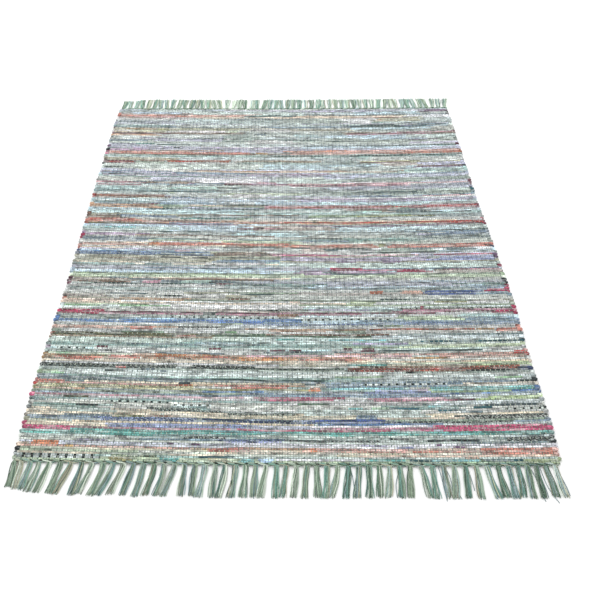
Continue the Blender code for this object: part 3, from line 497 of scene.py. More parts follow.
    (220, 1, 15, 31, R.DARK_SLATE), (221, 1, -4, 10, R.DARK_SLATE), (221, 1, 43, 52, R.PURPLE),
    (223, 1, -32, -22, R.DARK_SLATE), (223, 1, -50, -40, R.LILAC), (225, 3, 3, 12, R.MINT),
    (228, 1, -60, -38, R.MAROON), (229, 1, -60, -38, R.TAUPE), (228, 2, -38, -15, R.TAUPE),
    (227, 2, -10.5, -7, R.SLATE), (227, 1, 23, 50, R.DUSTY_ROSE), (228, 1, 23, 50, R.MAROON),
    (229, 1, 40, 60, R.DUSTY_ROSE), (228, 1, 35.5, 39, R.ROSE), (230, 1, -60, -40, R.PEACH),
    (232, 3, -40, -12, R.KHAKI), (233, 1, -55, -43, R.GOLD), (233, 1, -46, -40, R.OLIVE),
    (235, 1, -60, -5, R.SLATE), (235, 3, 21, 52, R.SLATE), (236, 1, 21, 50, R.DARK_TEAL),
    (235, 4, 25, 41, R.DARK_SLATE), (237, 1, 41, 46, R.LILAC), (241, 1, -60, -50, R.SLATE),
    (243, 2, 33, 35, R.TAN), (245, 1, -18, 8, R.SLATE), (246, 1, -55, -38, R.BROWN_PRINT),
    (247, 3, -60, -28, R.SALMON), (248, 1, -60, -30, R.CORAL), (248, 2, -28, -13, R.SALMON),
    (247, 2, -13, 21, R.PEACH), (247, 1, 24, 44, R.PEACH), (246, 1, 24, 44, R.BROWN),
    (248, 1, -13, 5, R.DARK_TEAL), (249, 1, 6, 60, R.SLATE), (251, 1, 17, 34, R.STEEL),
    (253, 1, 2, 35, R.LILAC), (252, 3, 50, 60, R.PURPLE), (255, 1, -51, -49, R.CHARCOAL),
    (85, 1, -46, 0, R.WHITE), (105, 2, -60, -4, R.ICE), (17, 1, 6, 34, R.WHITE), (78, 1, 22, 41, R.MAROON),
    (178, 2, -43, -29, R.TAUPE), (187, 2, -34, -12, R.STEEL), (190, 1, 18, 37, R.PEARL),
    (16, 1, 9, 34, R.DUSTY_ROSE), (178, 1, -10, -1, R.MAUVE), (46, 2, -60, -42, R.NIGHT_PRINT),
    (99, 1, 34, 50, R.STEEL), (107, 1, -25, -4, R.ICE), (118, 1, -37, -22, R.NAVY_PRINT),
    (128, 1, -50, -17, R.WHITE), (145, 1, -10, 6, R.ASH), (176, 1, -60, -46, R.DUSTY_ROSE),
    (177, 1, -43, -30, R.STEEL), (180, 1, -43, -30, R.STEEL), (179, 1, 20, 43, R.WHITE),
    (247, 1, -55, -39, R.PINK), (60, 1, -23, -9, R.ICE), (112, 1, -44, -16, R.PEARL),
    (120, 1, -19, -6, R.TAUPE), (171, 1, 25, 44, R.MIST), (179, 1, -10, -2, R.DUSTY_ROSE),
)

# The cloths that show in the turns of the selvedges.
TURNS: tuple[tuple[int, int, int, Rag], ...] = (
    # side, first pick, how many picks, rag
    (-1, 1, 1, R.NAVY), (-1, 4, 1, R.CHARCOAL), (-1, 5, 3, R.PEACH), (-1, 14, 3, R.MAGENTA),
    (-1, 25, 2, R.CHARCOAL), (-1, 30, 2, R.MAGENTA), (-1, 36, 4, R.RED), (-1, 51, 3, R.GOLD),
    (-1, 56, 3, R.PURPLE), (-1, 64, 2, R.RUST), (-1, 72, 3, R.CORNFLOWER), (-1, 77, 4, R.CRIMSON),
    (-1, 86, 3, R.RUST), (-1, 97, 4, R.MAROON), (-1, 118, 4, R.NAVY), (-1, 123, 3, R.CORAL),
    (-1, 131, 3, R.CRIMSON), (-1, 141, 3, R.RUST), (-1, 144, 3, R.CORAL), (-1, 148, 4, R.BROWN),
    (-1, 165, 4, R.RED), (-1, 197, 2, R.CHARCOAL), (-1, 207, 2, R.ROSE), (-1, 209, 4, R.CHARCOAL),
    (-1, 215, 2, R.PURPLE), (-1, 229, 2, R.CHARCOAL), (-1, 234, 2, R.MAROON), (-1, 247, 4, R.CORAL),
    (1, 5, 2, R.CORAL), (1, 9, 3, R.CHARCOAL), (1, 13, 1, R.TEAL), (1, 15, 3, R.MAGENTA),
    (1, 33, 5, R.CORNFLOWER), (1, 39, 1, R.CHARCOAL), (1, 44, 4, R.NAVY), (1, 54, 2, R.RED),
    (1, 69, 2, R.CORAL), (1, 73, 3, R.CORNFLOWER), (1, 77, 5, R.CRIMSON), (1, 91, 5, R.CRIMSON),
    (1, 97, 4, R.CHARCOAL), (1, 109, 1, R.CRIMSON), (1, 115, 4, R.PURPLE), (1, 123, 2, R.NAVY),
    (1, 136, 1, R.CHARCOAL), (1, 141, 5, R.CRIMSON), (1, 156, 4, R.MAROON), (1, 168, 5, R.DARK_TEAL),
    (1, 176, 4, R.MAROON), (1, 193, 3, R.CHARCOAL), (1, 206, 6, R.ORANGE), (1, 214, 3, R.MAROON),
    (1, 229, 2, R.MAROON), (1, 250, 3, R.CHARCOAL),
)


def linear(code: str) -> tuple[float, float, float]:
    """A colour code of six hexadecimal digits as three linear numbers."""
    shares = [int(code[k : k + 2], 16) / 255 for k in (0, 2, 4)]
    return tuple(s / 12.92 if s <= 0.04045 else ((s + 0.055) / 1.055) ** 2.4 for s in shares)


@dataclass
class Weft:
    """Which rag shows at each pick and each half-end of the cloth."""

    plan: Plan
    seed: int = 7
    shortest: float = 0.50  # rag in the ground
    longest: float = 2.4
    ground_spread: float = 0.14  # how far the shades of one cloth's rags stray, as a share
    chart_spread: float = 0.05
    tint_spread: float = 0.04
    slack: float = 0.022  # how far the end of a charted rag strays, at most
    slack_share: float = 0.15  # and at most as a share of its length
    colours: list[tuple[float, ...]] = field(default_factory=list)  # a rag's ground, cover, figure, pattern
    owner: Points | None = None

    def rag(self, cloth: Rag, rng: random.Random, spread: float) -> int:
        """Adds one rag, a shade lighter or darker than its cloth.

        Args:
            cloth: what it was torn from.
            rng: the source of its shade.
            spread: how far shades stray, as a share.

        Returns:
            The rag's number.
        """
        shade = 1 + rng.uniform(-spread, spread)
        tint = [shade * (1 + rng.uniform(-self.tint_spread, self.tint_spread)) for _ in range(3)]
        stuff = cloth.value
        ground = [min(0.95, part * t) for part, t in zip(linear(stuff.ground), tint)]
        self.colours.append((*ground, stuff.cover, *linear(stuff.figure), stuff.pattern.value))
        return len(self.colours) - 1

    def lay_ground(self, rng: random.Random) -> None:
        """Weaves rag after rag to and fro, each from the cloths of its place in the ground."""
        starts = [row[0] for row in GROUND]
        left, now, cloth = 0.0, 0, None
        step = self.plan.width / self.plan.half_ends
        for pick in range(self.plan.picks):
            cloths = GROUND[max(k for k, start in enumerate(starts) if start <= pick)][1]
            order = range(self.plan.half_ends)
            for column in order if pick % 2 == 0 else reversed(order):
                if left <= 0 or cloth not in cloths:
                    cloth = rng.choice(cloths)
                    left = rng.uniform(self.shortest, self.longest)
                    now = self.rag(cloth, rng, self.ground_spread)
                self.owner[pick, column] = now
                left -= step

    def lay_chart(self, rng: random.Random) -> None:
        """Weaves in the rags of the chart, each pick of them ending a little sooner or later."""
        half = self.plan.half
        step = self.plan.width / self.plan.half_ends
        for pick, picks, left, right, cloth in BANDS + CHART:
            now = self.rag(cloth, rng, self.chart_spread)
            slack = min(self.slack, (right - left) / 100 * self.slack_share)
            for row in range(pick, min(pick + picks, self.plan.picks)):
                ends = [place / 100 + rng.uniform(-slack, slack) for place in (left, right)]
                first = 0 if left <= -100 * half else max(0, round((ends[0] + half) / step))
                last = self.plan.half_ends if right >= 100 * half else round((ends[1] + half) / step)
                self.owner[row, first:last] = now

    def plain(self, cloth: Rag) -> tuple[tuple[float, ...], tuple[float, ...]]:
        """The colours of a cloth as such, in the columns of shades."""
        stuff = cloth.value
        return (*linear(stuff.ground), stuff.cover), (*linear(stuff.figure), stuff.pattern.value)

    def weave(self) -> None:
        """Lays the ground and then the chart."""
        rng = random.Random(self.seed)
        self.owner = np.zeros((self.plan.picks, self.plan.half_ends), dtype=np.int32)
        self.lay_ground(rng)
        self.lay_chart(rng)
        LOG.info("weft: %d rags", len(self.colours))

    def shades(self, pick: Points, across: Points) -> tuple[Points, Points]:
        """What shows at places on the cloth.

        Args:
            pick: numbers of picks from the near end.
            across: places in half-widths from the middle.

        Returns:
            Two arrays of four columns: ground colour and cover of its print, and figure colour and pattern.
        """
        rows = np.clip(pick.astype(int), 0, self.plan.picks - 1)
        columns = np.clip(((across + 1) / 2 * self.plan.half_ends).astype(int), 0, self.plan.half_ends - 1)
        shown = np.array(self.colours, dtype=np.float32)[self.owner[rows, columns]]
        return shown[:, :4], shown[:, 4:]


# ------------------------------------------------------------------------------------------------------------
# Shaders
# ------------------------------------------------------------------------------------------------------------


class Wire:
    """A shader value on which arithmetic adds Math nodes."""

    def __init__(self, bench: "Bench", socket: bpy.types.NodeSocket) -> None:
        """Holds a node's output socket."""
        self.bench = bench
        self.socket = socket

    def math(self, operation: str, *others: "Wire | float") -> "Wire":
        """One Math node on this value and the others.

        Args:
            operation: the Math node's operation.
            others: its second and third values.

        Returns:
            The node's result.
        """
        return self.bench.node("ShaderNodeMath", {"operation": operation}, dict(enumerate((self, *others))))

    def __add__(self, other: "Wire | float") -> "Wire":
        """This value plus another."""
        return self.math("ADD", other)

    def __sub__(self, other: "Wire | float") -> "Wire":
        """This value less another."""
        return self.math("SUBTRACT", other)

    def __mul__(self, other: "Wire | float") -> "Wire":
        """This value times another."""
        return self.math("MULTIPLY", other)

    def __rsub__(self, other: float) -> "Wire":
        """A number less this value."""
        return self.bench.node("ShaderNodeMath", {"operation": "SUBTRACT"}, {0: other, 1: self})

    __radd__ = __add__
    __rmul__ = __mul__

    def swing(self, size: float, middle: float = 1.0) -> "Wire":
        """This value, which runs from 0 to 1, as a factor that strays as far as size from its middle."""
        return (self - 0.5) * (2 * size) + middle

    def rise(self, low: "Wire | float", high: "Wire | float") -> "Wire":
        """0 below low, 1 above high, and smooth between."""
        values = {"Value": self, "From Min": low, "From Max": high}
        return self.bench.node("ShaderNodeMapRange", {"interpolation_type": "SMOOTHSTEP"}, values)


@dataclass(frozen=True)
class Grain:
    """How fine a noise is: its features to a unit of the vector's X and Y, and how rough they are."""

    along: float
    across: float
    detail: float = 1.0
    roughness: float = 0.5


class Bench:
    """Makes the nodes of one material."""

    def __init__(self, name: str) -> None:
        """Starts a material that has only a Principled BSDF and its output."""
        self.material = bpy.data.materials.new(name)
        self.material.use_nodes = True
        self.tree = self.material.node_tree
        self.shader = self.tree.nodes["Principled BSDF"]

    def node(self, kind: str, settings: dict, values: dict, output: int | str = 0) -> Wire:
        """Adds a node.

        Args:
            kind: the node's type.
            settings: its properties, which are set first.
            values: for each of its sockets, a number, a colour or a wire.
            output: which of its outputs to return.

        Returns:
            A wire from that output.
        """
        made = self.tree.nodes.new(kind)
        for name, value in settings.items():
            setattr(made, name, value)
        for socket, value in values.items():
            self.feed(made.inputs[socket], value)
        return Wire(self, made.outputs[output])

    def feed(self, socket: bpy.types.NodeSocket, value: "Wire | float | tuple") -> None:
        """Links or sets one input socket."""
        if isinstance(value, Wire):
            self.tree.links.new(value.socket, socket)
        else:
            socket.default_value = value

    def colour_mix(self, share: "Wire | float", first: "Wire | tuple", second: "Wire | tuple") -> Wire:
        """Two colours mixed, with a share of the second."""
        return self.node("ShaderNodeMix", {"data_type": "RGBA"}, {0: share, 6: first, 7: second}, 2)

    def shaded(self, colour: Wire, light: "Wire | float") -> Wire:
        """A colour times one number."""
        return self.node("ShaderNodeVectorMath", {"operation": "SCALE"}, {0: colour, "Scale": light})

    def scaled(self, vector: Wire, factors: tuple[float, float, float]) -> Wire:
        """A vector times a number along each axis."""
        return self.node("ShaderNodeVectorMath", {"operation": "MULTIPLY"}, {0: vector, 1: factors})

    def split(self, vector: Wire) -> tuple[Wire, Wire]:
        """The X and the Y of a vector."""
        first = self.node("ShaderNodeSeparateXYZ", {}, {0: vector}, "X")
        return first, Wire(self, first.socket.node.outputs["Y"])

    def joined(self, first: Wire, second: Wire) -> Wire:
        """A vector from its X and its Y."""
        return self.node("ShaderNodeCombineXYZ", {}, {"X": first, "Y": second}, "Vector")

    def grain(self, vector: Wire, grain: Grain) -> Wire:
        """Noise of a given grain."""
        vector = self.scaled(vector, (grain.along, grain.across, 1))
        values = {"Vector": vector, "Scale": 1.0, "Detail": grain.detail, "Roughness": grain.roughness}
        return self.node("ShaderNodeTexNoise", {"noise_dimensions": "2D"}, values, "Fac")

    def chance(self, number: Wire) -> Wire:
        """A random number from 0 to 1, the same wherever the given number is."""
        return self.node("ShaderNodeTexWhiteNoise", {"noise_dimensions": "1D"}, {"W": number}, "Value")

    def attribute(self, name: str) -> tuple[Wire, Wire]:
        """The colour and the alpha of a piece's attribute."""
        colour = self.node("ShaderNodeAttribute", {"attribute_name": name}, {}, "Color")
        return colour, Wire(self, colour.socket.node.outputs["Alpha"])

    def finish(
        self, colour: Wire, height: Wire, relief: float, roughness: float, sheen: float
    ) -> bpy.types.Material:
        """Feeds the Principled BSDF.

        Args:
            colour: its base colour.
            height: the height of the surface, from 0 to 1.
            relief: how much of a metre that 1 is.
            roughness: its roughness.
            sheen: the weight of its sheen.

        Returns:
            The material.
        """
        self.feed(self.shader.inputs["Base Color"], colour)
        bump = self.node("ShaderNodeBump", {}, {"Height": height, "Distance": relief, "Strength": 1.0})
        self.feed(self.shader.inputs["Normal"], bump)
        self.shader.inputs["Roughness"].default_value = roughness
        self.shader.inputs["Sheen Weight"].default_value = sheen
        return self.material


@dataclass(frozen=True)
class RagFinish:
    """Folded cotton rag: streaks where it turns over, its print, and the dull nap of washed cotton."""

    roughness: float = 0.92
    sheen: float = 0.1
    wrong_side: tuple[float, ...] = (0.72, 0.76, 0.75, 1)
    reverse_paler: float = 0.34  # how far the wrong side of a cloth fades to that
    fold_shading: float = 0.95  # painted light and shade on the folds of a rag: how much lighter and darker they are
    crease: float = 0.72  # how dark the painted shade in the creases is
    crease_width: float = 0.045
    crease_depth: float = 0.4  # how deep they are beside the folds
    mottled: float = 0.6  # how uneven the dye is
    bright: float = 1.06  # how much paler washed cloth looks
    length_swing: float = 0.45  # how much lengths of a rag are lighter and darker
    clumped: float = 1.05  # how much shorter lengths of a pick are lighter or darker
    dashed: float = 0.46  # how dark the shadows under its loose folds are
    dot_pitch: float = 0.019
    dot_gap: float = 0.66  # share of the pitch that a dot leaves bare
    lean: float = 0.0137  # how far the streaks shift along the weft from one pick to the next
    relief: float = 0.0011
    # features to a metre along the weft and to a pick across it, detail and roughness
    folds: Grain = Grain(20, 2.6, 4.0, 0.75)
    mottles: Grain = Grain(175, 2.2, 2.0, 0.6)
    reverses: Grain = Grain(16, 0.85)
    specks: Grain = Grain(260, 2.6)
    bends: Grain = Grain(27, 1.45, 2.0, 0.55)
    length_grain: Grain = Grain(5, 0.95)
    clumps: Grain = Grain(26, 3.37, 3.0, 0.65)
    dashes: Grain = Grain(17, 5.93, 2.0, 0.6)

    def print_share(self, bench: Bench, place: Wire, slant: Wire, cover: Wire, pattern: Wire) -> Wire:
        """Where the print of a cloth shows.

        Args:
            bench: where the nodes are made.
            place: metres along the weft, and picks along the warp.
            slant: the same, shifted a little from pick to pick.
            cover: how much of the cloth is printed.
            pattern: the code of its pattern.

        Returns:
            1 on the print and 0 beside it.
        """
        along, across = bench.split(place)
        specks = bench.grain(slant, self.specks)
        speckled = specks.rise(0.77 - 0.5 * cover, 0.83 - 0.5 * cover) * cover.rise(0.01, 0.02)
        within = across.math("FRACT")
        dotted = (along * (1 / self.dot_pitch)).math("FRACT").rise(self.dot_gap - 0.02, self.dot_gap + 0.02)
        dotted = dotted * within.rise(0.04, 0.1) * (1 - within.rise(0.9, 0.96))
        values = {0: pattern.rise(0.7, 0.8), 2: speckled, 3: dotted}
        return bench.node("ShaderNodeMix", {"data_type": "FLOAT"}, values)

    def rag_colour(self, bench: Bench, place: Wire) -> tuple[Wire, Wire]:
        """The colour of the rags.

        Args:
            bench: where the nodes are made.
            place: metres along the weft, and picks along the warp.

        Returns:
            The colour, and the height of the folds from 0 to 1.
        """
        ground, cover = bench.attribute("ground")
        figure, pattern = bench.attribute("figure")
        along, rows = bench.split(place)
        slant = bench.joined(along + rows * self.lean, rows)
        pick = rows.math("FLOOR")
        own = bench.joined(along + pick * self.lean, pick)  # the same all across a pick

        turned = bench.grain(slant, self.reverses).rise(0.53, 0.57)
        colour = bench.colour_mix(turned * self.reverse_paler, ground, self.wrong_side)
        colour = bench.colour_mix(self.print_share(bench, place, slant, cover, pattern), colour, figure)

        # Painted light and shade on the folds, painted shade in the creases and painted shadows under loose
        # folds.
        folds = bench.grain(slant, self.folds)
        crease = 1 - (bench.grain(slant, self.bends) - 0.5).math("ABSOLUTE").rise(0.0, self.crease_width)
        light = folds.swing(self.fold_shading) * (1 - crease * self.crease)
        light = light * bench.grain(slant, self.mottles).swing(self.mottled, self.bright)
        light = light * bench.grain(slant, self.length_grain).swing(self.length_swing)
        light = light * (1 - bench.grain(own, self.dashes).rise(0.60, 0.67) * self.dashed)
        light = light * bench.grain(own, self.clumps).swing(self.clumped)
        return bench.shaded(colour, light), folds - crease * self.crease_depth


@dataclass(frozen=True)
class WeaveFinish(RagFinish):
    """Rags under the warp: each end shows over every other pick, as a short thread that presses it down."""

    pitch: float = 2 * Plan.width / Plan.half_ends  # from one warp end to the next
    thread: float = 0.155  # half the width of a thread, as a share of the pitch
    dark_end: str = "47695e"
    pale_end: str = "b2c0ac"
    gap_shade: float = 0.56  # how dark it is between two picks
    press_shade: float = 0.22  # beside a thread
    under_shade: float = 0.34  # where a thread passes underneath
    swell: float = 0.17  # how much the swells between the threads stray in shade
    yarn_spread: float = 0.07  # how much the threads do
    fibres: Grain = Grain(5.0, 9.0, 2.0, 0.6)

    def make(self) -> bpy.types.Material:
        """The material of the woven cloth."""
        bench = Bench("woven_rags")
        uv = bench.node("ShaderNodeUVMap", {"uv_map": "weave"}, {})
        colour, folds = self.rag_colour(bench, bench.scaled(uv, (self.pitch, 1, 1)))
        across, along = bench.split(uv)
        end = (across + 0.5).math("FLOOR")
        pick = along.math("FLOOR")
        beside = (across - end).math("ABSOLUTE")
        from_crown = (along.math("FRACT") - 0.5).math("ABSOLUTE")
        over = ((end + pick) * 0.5).math("FRACT").math("LESS_THAN", 0.25)

        slim = 1 - beside.rise(self.thread - 0.04, self.thread + 0.03)
        bare = bench.chance(end * 3.17 + pick * 5.71)
        shown = over * slim * (1 - from_crown.rise(0.42, 0.5)) * (bare * 0.7 + 0.45).math("MINIMUM", 1.0)
        pressed = over * (1 - beside.rise(self.thread, self.thread + 0.14)) * (1 - from_crown.rise(0.3, 0.5))
        under = (1 - over) * (1 - beside.rise(0.02, 0.2))
        # How dark the painted shade between the picks is, pick by pick.
        gap_shade_strength = bench.chance((along + 0.5).math("FLOOR") * 1.37)
        between = from_crown.rise(0.34, 0.5) * (gap_shade_strength * 0.9 + 0.55)
        cell = bench.chance(((end + pick) * 0.5).math("FLOOR") * 0.37 + pick * 7.31)

        odd = (end * 0.5).math("FRACT").rise(0.2, 0.3)
        yarn = bench.colour_mix(odd, (*linear(self.dark_end), 1), (*linear(self.pale_end), 1))
        yarn = bench.shaded(yarn, bench.chance(end).swing(self.yarn_spread))
        # Painted shade between the picks, beside a thread that presses the rag and where a thread passes
        # under; each swell a little lighter or darker.
        shade = (1 - between * self.gap_shade) * (1 - pressed * self.press_shade)
        shade = shade * (1 - under * self.under_shade) * cell.swing(self.swell)
        colour = bench.colour_mix(shown, bench.shaded(colour, shade), yarn)
        height = folds * 0.4 + shown * 0.5 + bench.grain(uv, self.fibres) * 0.12 - pressed * 0.2
        return bench.finish(colour, height, self.relief, self.roughness, self.sheen)


@dataclass(frozen=True)
class TurnFinish(RagFinish):
    """Rag that turns back round the outermost warp end, with nothing over it."""

    def make(self) -> bpy.types.Material:
        """The material of the turns of the weft."""
        bench = Bench("turned_rags")
        uv = bench.node("ShaderNodeUVMap", {"uv_map": "weave"}, {})
        colour, folds = self.rag_colour(bench, uv)
        return bench.finish(colour, folds, self.relief, self.roughness, self.sheen)


@dataclass(frozen=True)
class YarnFinish:
    """Twisted cotton yarn."""

    roughness: float = 0.88
    sheen: float = 0.1
    plies: float = 3.0
    turns: float = 16.0  # of the twist along one strand
    relief: float = 0.0004
    ply_gap_shade: float = 0.74  # painted shade between two plies, and how much the painted light on the plies and their fibres lightens it
    ply_light: float = 0.22
    fuzz_light: float = 0.3
    fuzz: Grain = Grain(6, 60, 2.0, 0.6)

    def make(self) -> bpy.types.Material:
        """The material of the braids and tassels."""
        bench = Bench("warp_yarn")
        uv = bench.node("ShaderNodeUVMap", {"uv_map": "strand"}, {})
        around, along = bench.split(uv)
        ply = ((around * self.plies + along * self.turns) * (2 * math.pi)).math("SINE") * 0.5 + 0.5
        fuzz = bench.grain(uv, self.fuzz)
        colour, _ = bench.attribute("yarn")
        # Painted shade between the plies and painted light on the plies and their fibres.
        colour = bench.shaded(colour, ply * self.ply_light + fuzz * self.fuzz_light + self.ply_gap_shade)
        height = ply * 0.7 + fuzz * 0.3
        return bench.finish(colour, height, self.relief, self.roughness, self.sheen)


# ------------------------------------------------------------------------------------------------------------
# Modelling helpers
# ------------------------------------------------------------------------------------------------------------


def deselect() -> None:
    """Deselects every object."""
    for thing in bpy.context.selected_objects:
        thing.select_set(False)


def join(things: list[bpy.types.Object], name: str) -> bpy.types.Object:
    """Joins objects into one.

    Args:
        things: the objects, of which the first takes in the others.
        name: what the result is called.

    Returns:
        The joined object.
    """
    deselect()
    for thing in things:
        thing.select_set(True)
    bpy.context.view_layer.objects.active = things[0]
    bpy.ops.object.join()
    things[0].name = name
    things[0].data.name = name
    return things[0]


def read(items: bpy.types.bpy_prop_collection, name: str, width: int, kind: type) -> Points:
    """One property of all of a mesh's items, in rows of a given width."""
    values = np.empty(len(items) * width, dtype=kind)
    items.foreach_get(name, values)
    return values.reshape(-1, width) if width > 1 else values


def write(items: bpy.types.bpy_prop_collection, name: str, values: Points) -> None:
    """Sets one property of all of a mesh's items."""
    items.foreach_set(name, np.ascontiguousarray(values, dtype=np.float32).ravel())


def corners(thing: bpy.types.Object) -> Points:
    """The places of an object's vertices, one row each."""
    return read(thing.data.vertices, "co", 3, np.float32)


def paint(thing: bpy.types.Object, name: str, colours: Points) -> None:
    """Gives a mesh a colour for each face corner.

    Args:
        thing: the object.
        name: the attribute's name.
        colours: one row of four numbers for each corner.
    """
    write(thing.data.color_attributes.new(name, "FLOAT_COLOR", "CORNER").data, "color", colours)


def dress(thing: bpy.types.Object, material: bpy.types.Material, slot: str, *nodes: str) -> bpy.types.Object:
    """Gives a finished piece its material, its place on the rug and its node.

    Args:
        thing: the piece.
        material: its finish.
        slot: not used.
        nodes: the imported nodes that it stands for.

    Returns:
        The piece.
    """
    thing.data.materials.clear()
    thing.data.materials.append(material)
    thing.data.polygons.foreach_set("use_smooth", [True] * len(thing.data.polygons))
    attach(thing, "root")
    if nodes:
        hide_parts(*nodes)
    LOG.info("%s: %d faces", thing.name, len(thing.data.polygons))
    return thing


# ------------------------------------------------------------------------------------------------------------
# The cloth
# ------------------------------------------------------------------------------------------------------------


@dataclass
class ClothPanel:
    """A length of the woven cloth, from one pick to another: ribbed and pressed above, ribbed below."""

    name: str
    first: int
    last: int
    plan: Plan
    weft: Weft
    crown: float = 0.0058
    crown_spread: float = 0.0005
    valley: float = 0.0042
    press: float = 0.0010  # how far a warp end presses a rag down
    hem_in: float = 0.003  # from the outermost point of a turn to the edge of this sheet
    bend_in: float = 0.0016  # from there to where its edge is round
    warp_in: float = 0.006  # from the outermost point of a turn to the outermost warp end
    edge_height: float = 0.0022
    edge_drop: float = 0.8
    lifted: float = 0.0002  # how far a warp end underneath lifts a rag
    dip: float = 0.0003  # how much deeper the valleys are between two warp ends
    under_rib: float = 0.0009
    under_edge: float = 0.0006
    under_columns: int = 64
    seed: int = 11

    @property
    def columns(self) -> int:
        """Steps across the upper side: those of the warp, and two round each edge."""
        return self.plan.half_ends + 4

    def inside(self, margin: float) -> float:
        """A distance in from the edge of the cloth, as a place in half-widths from the middle."""
        return 1 - margin / self.plan.half

    def grid(self, columns: int, height: float) -> bpy.types.Object:
        """A flat grid, two units wide and long, with a row for every valley and crown."""
        rows = 2 * (self.last - self.first)
        bpy.ops.mesh.primitive_grid_add(
            x_subdivisions=columns, y_subdivisions=rows, size=2, location=(0, 0, height), calc_uvs=False
        )
        made = bpy.context.active_object
        bpy.ops.object.transform_apply()
        return made

    def close(self, sheet: bpy.types.Object) -> None:
        """Bridges the two grids at the selvedges and fills both ends."""
        mesh = sheet.data
        places = corners(sheet)
        ends = read(mesh.edges, "vertices", 2, np.int32)
        for side in (-1, 1):
            edge = np.abs(places[:, 0] - side) < 1e-4
            chosen = edge[ends].all(axis=1)
            mesh.vertices.foreach_set("select", np.zeros(len(mesh.vertices), dtype=bool))
            mesh.polygons.foreach_set("select", np.zeros(len(mesh.polygons), dtype=bool))
            rest = np.zeros(len(mesh.edges) - len(chosen), dtype=bool)
            mesh.edges.foreach_set("select", np.concatenate([chosen, rest]))
            bpy.ops.object.mode_set(mode="EDIT")
            bpy.ops.mesh.select_mode(type="EDGE")
            bpy.ops.mesh.bridge_edge_loops()
            bpy.ops.object.mode_set(mode="OBJECT")
        bpy.ops.object.mode_set(mode="EDIT")
        bpy.ops.mesh.select_all(action="SELECT")
        bpy.ops.mesh.fill_holes(sides=0)
        bpy.ops.mesh.select_all(action="SELECT")
        bpy.ops.mesh.normals_make_consistent(inside=False)
        bpy.ops.object.mode_set(mode="OBJECT")

    def across_of(self, column: Points) -> Points:
        """Where the columns of the upper grid lie: two round the edge off, and the rest follow the warp."""
        edge = self.inside(self.hem_in)
        bend = self.inside(self.hem_in + self.bend_in)
        inner = self.inside(self.warp_in)
        warp = np.linspace(-inner, inner, self.plan.half_ends + 1)
        return np.concatenate([[-edge, -bend], warp, [bend, edge]])[column]

    def height(self, column: Points, row: Points) -> Points:
        """The height of the upper side.

        Args:
            column: the number of each vertex's column.
            row: the number of its row, where even rows are valleys and odd ones crowns.

        Returns:
            The heights.
        """
        rng = np.random.default_rng(self.seed)
        thick = self.crown + rng.uniform(-1, 1, self.plan.picks) * self.crown_spread
        pick = np.minimum(row // 2, self.plan.picks - 1)
        half_end = column - 2
        at_end = half_end % 2 == 0
        over = at_end & ((half_end // 2 + pick) % 2 == 0)
        crown = thick[pick] - np.where(over, self.press, 0) + np.where(at_end & ~over, self.lifted, 0)
        height = np.where(row % 2 == 1, crown, self.valley - np.where(at_end, 0, self.dip))
        outer = (column == 0) | (column == self.columns)
        bend = (column == 1) | (column == self.columns - 1)
        return np.where(outer, self.edge_height, np.where(bend, height * self.edge_drop, height))

    def build(self, material: bpy.types.Material) -> bpy.types.Object:
        """Models and dresses the panel.

        Args:
            material: the weave's finish.

        Returns:
            The panel.
        """
        deselect()
        upper = self.grid(self.columns, 1.0)
        lower = self.grid(self.under_columns, 0.0)
        sheet = join([upper, lower], self.name)
        self.close(sheet)
        flat = corners(sheet)
        top = flat[:, 2] > 0.5
        rows = 2 * (self.last - self.first)
        row = np.rint((flat[:, 1] + 1) / 2 * rows).astype(int) + 2 * self.first
        upper_column = np.rint((flat[:, 0] + 1) / 2 * self.columns).astype(int)
        across = np.where(top, self.across_of(upper_column), flat[:, 0] * self.inside(self.hem_in))
        x, y = self.plan.place(across, row / 2)
        under = np.where(row % 2 == 1, 0.0, self.under_rib)
        under += np.where(np.abs(flat[:, 0]) > 1 - 1e-4, self.under_edge, 0)
        z = np.where(top, self.height(upper_column, row), under)
        write(sheet.data.vertices, "co", np.stack([x, y, z], 1))
        self.chart_faces(sheet, across, row / 2)
        sheet.data.update()
        return dress(sheet, material, "rag_cloth")

    def chart_faces(self, sheet: bpy.types.Object, across: Points, pick: Points) -> None:
        """Gives every face its rag, and every corner its place in the weave.

        Args:
            sheet: the panel.
            across: each vertex's place in half-widths from the middle.
            pick: each vertex's place in picks from the near end.
        """
        mesh = sheet.data
        corner_of = read(mesh.loops, "vertex_index", 1, np.int32)
        totals = read(mesh.polygons, "loop_total", 1, np.int32)
        face_of = np.repeat(np.arange(len(totals)), totals)
        mid_across = np.bincount(face_of, across[corner_of]) / totals
        mid_pick = np.bincount(face_of, pick[corner_of]) / totals
        ground, figure = self.weft.shades(np.floor(mid_pick), mid_across)
        paint(sheet, "ground", ground[face_of])
        paint(sheet, "figure", figure[face_of])
        ends = (across / self.inside(self.warp_in) + 1) / 2 * (self.plan.half_ends + 1) / 2
        write(mesh.uv_layers.new(name="weave").data, "uv", np.stack([ends, pick], 1)[corner_of])


# ------------------------------------------------------------------------------------------------------------
# Strands: turns of the weft, braids and tassels
# ------------------------------------------------------------------------------------------------------------


